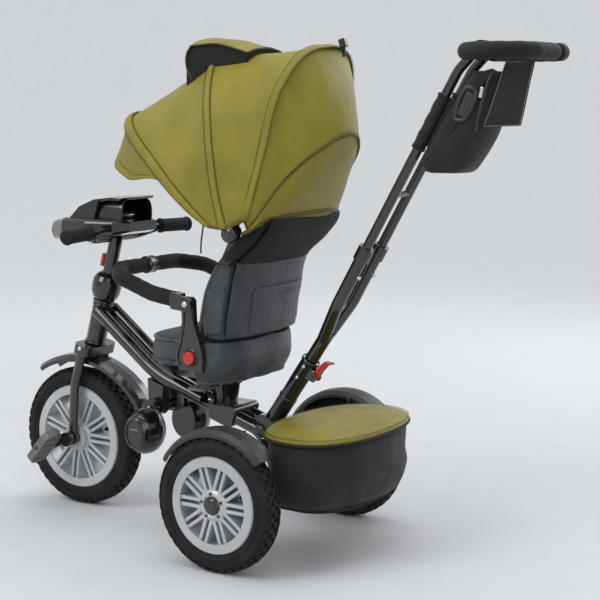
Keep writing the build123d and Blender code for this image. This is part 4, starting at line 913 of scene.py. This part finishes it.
RX, RB, RY, RZ = 105.0, 61.0, 463.5, 941.0
near = fillet_path([P(42, RY - RB, RZ), P(RX, RY - RB, RZ), P(RX, RY + RB, RZ), P(-26, RY + RB, RZ)], [0.0595, 0.0595])
far_ = fillet_path([P(-38, RY + RB, RZ), P(-RX, RY + RB, RZ), P(-RX, RY - RB, RZ), P(-42, RY - RB, RZ)], [0.0595, 0.0595])
for tag, path in (("near", near), ("far", far_)):
    o = tube(f"handle_pad_{tag}", path, 0.0150, "foam", "push_bar_top", seg=24, radius=lambda i, n, a: 0.0150 + 0.0003 * math.sin(i * 1.3), slot="foam")
    if tag == "near":
        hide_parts("handle_foam")
pad = [[p + Vector((w * 0.006, 0, 0.0152 - abs(w) * 0.0016)) for w in (-1.6, -0.8, 0, 0.8, 1.6)] for p in far_[:0]]
flat = [P(x, RY - RB, RZ + 14.5) for x in range(46, 96, 4)]
stitches("handle_zigzag", [P(-46 - k * 2.4, RY + RB - 3, RZ + 15.3) for k in range(17)], 0.0034, 0.0005, "push_bar_top", zig=0.9, lift=Vector((0, 0, 1)))
# strap loop on the handle
loop = [P(-4 + 6 * math.sin(a) * 0.4, RY - RB + 17.4 * math.cos(a), RZ + 17.4 * math.sin(a) + 3) for a in [2 * math.pi * k / 28 for k in range(29)]]
flat_strip("handle_loop", loop, (1, 0, 0), 0.02, "strap", "push_bar_top", thick=0.0015, slot="nylon")

# ------------------------------------------------------------ grips
for s, tag in ((1, "left"), (-1, "right")):
    a, b = P(s * 194, -386.8, 591), P(s * 112, -399, 592.2)
    n = 42
    path = [a.lerp(b, k / n) for k in range(n + 1)]
    o = tube(f"grip_{tag}", path, 0.014, "foam", "handlebar", seg=28, radius=lambda i, n, ang: 0.0132 + (0.0009 if i % 3 else -0.0002) + (0.0016 if i < 3 or i > n - 4 else 0), dome=0.003, slot="foam")
    if s > 0:
        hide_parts("grips")

# ------------------------------------------------------------ console details
hood_rows = []
for i in range(15):
    u = i / 14
    y = -500 + 134 * u
    zt = 612 + 50 * math.sin(min(1.0, u * 1.35) * math.pi / 2) - 3 * u
    half = 56 - 8 * u
    row = []
    for j in range(21):
        a = math.pi * j / 20
        x = half * math.copysign(abs(math.cos(a)) ** 0.55, math.cos(a))
        z = 611 + (zt - 611) * abs(math.sin(a)) ** 0.5
        row.append(P(x, y, z))
    hood_rows.append(row)
surface("console_hood", hood_rows, "black_gloss", "handlebar", solid=0.003, subsurf=1, slot="black_gloss")
oval = [P(45 * math.cos(a), -420 + 35 * math.sin(a), 623) for a in [2 * math.pi * k / 48 for k in range(49)]]
tube("dash_rim", oval, 0.002, "silver_gloss", "handlebar", seg=8)
for tag, x, y in (("a", -18, -412), ("b", 18, -412)):
    revolve(f"dial_ring_{tag}", [(8.6, 4.0), (9.4, 5.4), (10.6, 5.0), (11, 3.8)], P(x, y, 618.3), (0, 0, 1), "silver_gloss", "handlebar", seg=36, closed=False)
boxes("dash_strip", [(P(0, -438, 623), Vector((1, 0, 0)), Vector((0, 1, 0)), Vector((0, 0, 1)), (0.022, 0.004, 0.0012))], "red", "handlebar", bevel=0.001)
scoop = []
for i in range(9):
    u = i / 8
    scoop.append([P(52 - 4 * u + 22 * math.sin(math.pi * j / 10), -474 + 96 * j / 10, 606 - 14 * u - 5 * math.sin(math.pi * j / 10)) for j in range(11)])
surface("console_scoop_left", scoop, "silver_gloss", "handlebar", solid=0.002, subsurf=1)
surface("console_scoop_right", [[Vector((-p.x, p.y, p.z)) for p in r] for r in scoop], "silver_gloss", "handlebar", solid=0.002, subsurf=1)
bezel = [P(37 * math.cos(a), -563.5, 586 + 19.5 * math.sin(a)) for a in [2 * math.pi * k / 48 for k in range(49)]]
tube("lamp_bezel", bezel, 0.003, "black_gloss", "handlebar", seg=10)
for k in range(5):
    tube(f"lens_rib_{k}", [P(-28 + 2 * abs(k - 2) + 4 * j, -574.5 + 0.010 * (-28 + 4 * j) ** 2, 576 + 5 * k) for j in range(0, 15 - abs(k - 2))], 0.0009, "lens", "handlebar", seg=6)

# collar rings on the head tube
sd = Vector((0, math.sin(math.radians(15.1)), math.cos(math.radians(15.1))))
H0 = P(0, -471, 396.5)
for t, r in ((46, 22.6), (38, 22.2), (-46, 22.6)):
    revolve(f"head_collar_{t + 60}", [(20.9, -2.6), (r, -1.8), (r, 1.8), (20.9, 2.6)], H0 + sd * t / 1000, sd, "black_gloss", "frame", seg=44)
for x in (1, -1):
    screw(f"crown_bolt_{'l' if x > 0 else 'r'}", H0 + sd * -0.056 + Vector((x * 0.0485, 0, 0)), (x, 0, 0), 4.5, 2.5, "steel", "steering")
    screw(f"fork_nut_{'l' if x > 0 else 'r'}", FRONT + Vector((x * 0.0442, 0, 0)), (x, 0, 0), 11, 3.5, "black_gloss", "steering")
    screw(f"foot_screw_{'l' if x > 0 else 'r'}", P(x * 59, -296, 238), (x, 0, 0), 6.2, 2.0, "steel", "footrests")
    # footrest rim and slot
    ring = [P(x * 113, -290 + 21 * math.cos(a), 198 + 29 * math.sin(a)) for a in [2 * math.pi * k / 36 for k in range(37)]]
    tube(f"foot_rim_{'l' if x > 0 else 'r'}", ring, 0.0022, "black_gloss", "footrests", seg=8)
    boxes(f"foot_slot_{'l' if x > 0 else 'r'}", [(P(x * 112.4, -290, 206), Vector((0, 1, 0)), Vector((0, 0, 1)), Vector((1, 0, 0)), (0.010, 0.0022, 0.001))], "lever_grey", "footrests", bevel=0.001)

# push bar hardware
for k, (y, z) in enumerate(((33, 332), (48, 354))):
    for s in (1, -1):
        screw(f"sleeve_rivet_{k}_{'l' if s > 0 else 'r'}", P(s * 16.4, y, z), (s, 0, 0), 3.6, 1.8, "steel", "frame")
ld = Vector((0, 88, 130)).normalized()
for t in (0, 92):
    revolve(f"sleeve_collar_{t}", [(16.8, -3.5), (18.6, -2.6), (18.6, 2.6), (16.8, 3.5)], P(0, 2, 287) + ld * (t + 1) / 1000, ld, "black_gloss", "frame", seg=40)
lv = smooth_path([P(0, 62, 329), P(0, 70, 338), P(0, 80, 352), P(0, 92, 362), P(0, 103, 362)], 6)
tube("lever_edge_a", [p + Vector((0.0062, 0, 0)) for p in lv], 0.0018, "red", "quick_release", seg=8)
tube("lever_edge_b", [p - Vector((0.0062, 0, 0)) for p in lv], 0.0018, "red", "quick_release", seg=8)

# ------------------------------------------------------------ bag behind the bars
def bag_section(z, front, rear, half, puff):
    n = 2.6
    row = []
    for j in range(48):
        q = 2 * math.pi * j / 48
        c, s = math.cos(q), math.sin(q)
        row.append(P(half * math.copysign(abs(c) ** (2 / n), c), (front + rear) / 2 + (rear - front) / 2 * math.copysign(abs(s) ** (2 / n), s), z))
    return [p + Vector((wobble(p, 22, puff, 1), wobble(p, 20, puff, 2), wobble(p, 18, puff * 0.4, 3))) for p in row]


bag_rows = [bag_section(z, f, r, h, 0.004) for z, f, r, h in ((733, 330, 362, 30), (731, 312, 378, 42), (737, 300, 388, 48), (752, 302, 398, 51), (778, 316, 414, 52), (806, 333, 430, 52), (836, 351, 441, 51), (866, 370, 451, 50), (890, 385, 459, 49), (903, 394, 463, 48), (906, 396, 461, 46))]
inner_rows = [bag_section(z, f, r, h, 0.003) for z, f, r, h in ((905, 399, 458, 43), (896, 396, 455, 43), (880, 387, 449, 43))]
bag = surface("bag_shell", bag_rows + inner_rows, "nylon", "push_bar_top", close_u=True, subsurf=1, solid=0.0012, slot="nylon")
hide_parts("bag_body")
btm = surface("bag_base", [[P(0, 346, 732)] * 48, bag_rows[0]], "nylon", "push_bar_top", close_u=True, slot="nylon")
mouth = [p for p in bag_rows[-1]]
tube("bag_mouth_tape", mouth + [mouth[0]], 0.0022, "strap", "push_bar_top", seg=8)
flap_r = []
for i in range(15):
    u = i / 14
    row = []
    for j in range(13):
        v = j / 12
        yb, zb = 436 + (502 - 436) * v, 815 + 3 * v
        yt, zt = 474 + (524 - 474) * v, 923
        y, z = yb + (yt - yb) * u, zb + (zt - zb) * u
        row.append(P(52 + 3 * math.sin(math.pi * v) * math.sin(math.pi * u) + 2 * noise.noise(Vector((y * 0.03, z * 0.03, 2))), y, z))
    flap_r.append(row)
fl = surface("bag_flap_cloth", flap_r, "nylon", "push_bar_top", solid=0.003, subsurf=1, slot="nylon")
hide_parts("bag_flap")
declare_sheet(fl, flap_r)
edge = [r[0] for r in flap_r[::-1]] + flap_r[0][1:] + [r[-1] for r in flap_r[1:]]
tube("bag_flap_binding", edge, 0.0016, "strap", "push_bar_top", seg=8)
stitches("bag_flap_stitch", [p + Vector((0.0022, 0, 0.0)) for p in edge], 0.0042, 0.00035, "push_bar_top", lift=Vector((1, 0, 0)))
# sleeves that hold the bag on the two bars
ud = Vector((0, 200, 355)).normalized()
for s, tag in ((1, "left"), (-1, "right")):
    c0 = P(s * 27, 189, 586) + ud * 0.215
    path = [c0 + ud * 0.105 * k / 12 for k in range(13)]
    tube(f"bag_sleeve_{tag}", path, 0.0125, "nylon", "push_bar_top", seg=24, radius=lambda i, n, a: 0.0122 + 0.0008 * math.sin(i * 1.9 + a * 2), slot="nylon")
    tube(f"bag_sleeve_edge_{tag}", [c0 + ud * 0.105 + Vector((0.0124 * math.cos(a), 0.0124 * math.sin(a) * 0.87, -0.0124 * math.sin(a) * 0.49)) for a in [2 * math.pi * k / 24 for k in range(25)]], 0.0014, "strap", "push_bar_top", seg=8)
# D-shaped buckle and its strap
bx = 52.5
bk = smooth_path([P(bx, 378, 826), P(bx, 397, 826), P(bx, 411, 848), P(bx, 419, 872), P(bx, 408, 881), P(bx, 396, 876), P(bx, 384, 852), P(bx, 378, 826)], 6)
o = tube("bag_buckle_ring", bk, 0.0042, "grey_matt", "push_bar_top", seg=12, slot="grey_matt")
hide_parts("bag_buckle")
boxes("bag_buckle_plate", [(P(bx - 1, 398, 850), Vector((0, 0.44, 0.9)).normalized(), Vector((0, 0.9, -0.44)).normalized(), Vector((1, 0, 0)), (0.024, 0.0085, 0.002))], "grey_matt", "push_bar_top", bevel=0.001)
screw("bag_buckle_hole", P(bx + 1, 400, 856), (1, 0, 0), 3.6, 1.0, "black_gloss", "push_bar_top")
flat_strip("bag_strap", smooth_path([P(bx - 2, 360, 800), P(bx, 372, 816), P(bx + 1, 388, 834)], 5), (0, 0.9, -0.44), 0.018, "strap", "push_bar_top", slot="nylon")
flat_strip("bag_strap_up", smooth_path([P(bx, 408, 868), P(bx, 420, 886), P(bx - 2, 436, 902), P(bx - 10, 452, 908)], 5), (0, 0.9, -0.44), 0.018, "strap", "push_bar_top", slot="nylon")
zip_pts = smooth_path([P(51, 418, 806), P(53.5, 424, 832), P(53, 432, 862), P(52, 440, 890), P(48, 446, 905)], 8)
tube("bag_zip", zip_pts, 0.0022, "grey_matt", "push_bar_top", seg=8)
boxes("bag_zip_pull", [(P(56, 430, 872), Vector((0, 0.2, 1)).normalized(), Vector((0, 1, -0.2)).normalized(), Vector((1, 0, 0)), (0.009, 0.003, 0.001))], "steel", "push_bar_top", bevel=0.0006)

# ------------------------------------------------------------ basket
def pan_row(z, a, b, cy=118, puff=0.0, seg=72, n=2.35, drape=0.0, seed=0):
    row = []
    for j in range(seg):
        q = 2 * math.pi * j / seg
        c, s = math.cos(q), math.sin(q)
        x = a * math.copysign(abs(c) ** (2 / n), c)
        y = cy + b * math.copysign(abs(s) ** (2 / n), s)
        p = P(x, y, z)
        d = Vector((c, s, 0))
        p += d * (wobble(p, 16, puff, seed) + drape * math.sin(q * 13 + 2 * noise.noise(Vector((c, s, 1)))) )
        p.z += wobble(p, 12, puff * 0.6, seed + 4)
        row.append(p)
    return row


body_rows = [pan_row(z, a, b, puff=pf, drape=dr, seed=2) for z, a, b, pf, dr in (
    (109, 40, 20, 0.001, 0), (108, 104, 58, 0.003, 0), (110, 134, 74, 0.004, 0.001), (118, 152, 86, 0.005, 0.0015), (130, 163, 93, 0.006, 0.002), (144, 170, 97, 0.006, 0.002), (158, 176, 99, 0.007, 0.002),
    (172, 180, 102, 0.007, 0.001), (184, 176, 98, 0.006, 0.002), (204, 177, 100, 0.006, 0.0015), (222, 177, 101, 0.004, 0.001), (238, 175, 100, 0.002, 0), (247, 174, 99, 0.001, 0))]
bb = surface("basket_cloth", body_rows, "nylon", "frame", close_u=True, cap=True, subsurf=1, slot="nylon")
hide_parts("basket_body")
lid_rows = [pan_row(z, a, b, cy=118, puff=pf, seed=5) for z, a, b, pf in (
    (240, 178, 103, 0.001), (246, 181, 106, 0.001), (251, 180, 105, 0.0015), (255, 172, 98, 0.002), (259, 146, 80, 0.0035), (262, 110, 58, 0.0045), (263, 70, 36, 0.0045), (263, 30, 15, 0.003), (263, 6, 3, 0.0))]
ld2 = surface("basket_lid_cloth", lid_rows, "olive", "frame", close_u=True, cap=True, subsurf=1, slot="olive")
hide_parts("basket_lid")
zr = pan_row(243, 180.5, 105.5)
tube("basket_zip", zr + [zr[0]], 0.0021, "strap", "frame", seg=8)
zr2 = pan_row(252.5, 178.5, 103.5)
stitches("basket_stitch", [p + Vector((0, 0, 0.001)) for p in zr2 + [zr2[0]]], 0.005, 0.0005, "frame", material="olive_dark", lift=Vector((0, 0, 1)))
boxes("basket_zip_pull", [(P(172, 60, 236), Vector((0, 0, 1)), Vector((0, 1, 0)), Vector((1, 0, 0)), (0.011, 0.0032, 0.001))], "steel", "frame", bevel=0.0006)
zr3 = pan_row(112, 142, 79)
tube("basket_base_binding", zr3 + [zr3[0]], 0.0026, "strap", "frame", seg=8)

# ------------------------------------------------------------ studio
prof = [(0.0, 0.0), (1.5, 0.0), (3.2, 0.0), (4.2, 0.02), (5.0, 0.12), (5.8, 0.42), (6.4, 0.95), (6.8, 1.8), (7.0, 3.2), (7.0, 6.0)]
fine = []
for a, b in zip(prof[:-1], prof[1:]):
    fine += [(a[0] + (b[0] - a[0]) * k / 6, a[1] + (b[1] - a[1]) * k / 6) for k in range(6)]
fine.append(prof[-1])
vs, fs = [(0, 0, 0)], []
SEG = 96
for r, z in fine[1:]:
    vs += [(r * math.cos(2 * math.pi * k / SEG), r * math.sin(2 * math.pi * k / SEG), z) for k in range(SEG)]
for k in range(SEG):
    fs.append((0, 1 + k, 1 + (k + 1) % SEG))
for i in range(len(fine) - 2):
    for k in range(SEG):
        a, b = 1 + i * SEG + k, 1 + i * SEG + (k + 1) % SEG
        fs.append((a, a + SEG, b + SEG, b))
nt = M["floor"].node_tree
bs = [n for n in nt.nodes if n.type == "BSDF_PRINCIPLED"][0]
# painted light: the floor and its backdrop wall glow more with distance from the centre, emission rising smoothly from
# 0 at 0.7 m to 0.21 at 3.2 m, a painted brightening of the far backdrop
geo = nt.nodes.new("ShaderNodeNewGeometry")
ln = nt.nodes.new("ShaderNodeVectorMath")
ln.operation = "LENGTH"
painted_glow_ramp = nt.nodes.new("ShaderNodeMapRange")
painted_glow_ramp.interpolation_type = "SMOOTHSTEP"
painted_glow_ramp.inputs[1].default_value, painted_glow_ramp.inputs[2].default_value = 0.7, 3.2
painted_glow_ramp.inputs[3].default_value, painted_glow_ramp.inputs[4].default_value = 0.0, 0.21
nt.links.new(geo.outputs["Position"], ln.inputs[0])
nt.links.new(ln.outputs["Value"], painted_glow_ramp.inputs[0])
nt.links.new(painted_glow_ramp.outputs[0], bs.inputs["Emission Strength"])
bs.inputs["Emission Color"].default_value = (0.96, 0.985, 1.0, 1)
me = bpy.data.meshes.new("floor")
me.from_pydata(vs, [], fs)
for p in me.polygons:
    p.use_smooth = True
floor = bpy.data.objects.new("floor", me)
bpy.context.scene.collection.objects.link(floor)
me.materials.append(M["floor"])
floor.visible_diffuse = False
floor.visible_shadow = False

world = bpy.data.worlds.new("studio")
bpy.context.scene.world = world
world.use_nodes = True
world.node_tree.nodes["Background"].inputs["Color"].default_value = (1.0, 1.0, 1.0, 1)
world.node_tree.nodes["Background"].inputs["Strength"].default_value = 0.62


def area(name, loc, target, size, power):
    d = bpy.data.lights.new(name, "AREA")
    d.shape = "RECTANGLE"
    d.size, d.size_y = size, size
    d.energy = power
    o = bpy.data.objects.new(name, d)
    bpy.context.scene.collection.objects.link(o)
    o.location = loc
    o.rotation_mode = "QUATERNION"
    o.rotation_quaternion = (Vector(target) - Vector(loc)).to_track_quat("-Z", "Y")
    return o


area("key", (2.6, -1.2, 2.6), (0, 0, 0.4), 1.8, 46)
area("fill", (2.2, 2.8, 1.6), (0, 0, 0.5), 2.2, 20)
area("top", (0, 0, 3.2), (0, 0, 0.4), 2.4, 34)
area("rim", (-2.6, 0.6, 1.9), (0, 0, 0.6), 1.6, 22)

cam = bpy.data.cameras.new("photo_camera")
co = bpy.data.objects.new("photo_camera", cam)
bpy.context.scene.collection.objects.link(co)
cam.sensor_width = 36
cam.lens = 89.23
cam.shift_x, cam.shift_y = 0.00595, 0.00345
cam.clip_start, cam.clip_end = 0.05, 60
cam.dof.use_dof = False
loc = Vector((2.36160, 1.55784 + SHIFT / 1000, 0.86724))
tgt = Vector((0, 0.0209 + SHIFT / 1000, 0.4743))
co.location = loc
co.rotation_mode = "QUATERNION"
q = (tgt - loc).to_track_quat("-Z", "Y")
co.rotation_quaternion = q @ Matrix.Rotation(math.radians(0.164), 4, "Z").to_quaternion()
bpy.context.scene.camera = co
bpy.context.scene.view_settings.view_transform = "Standard"
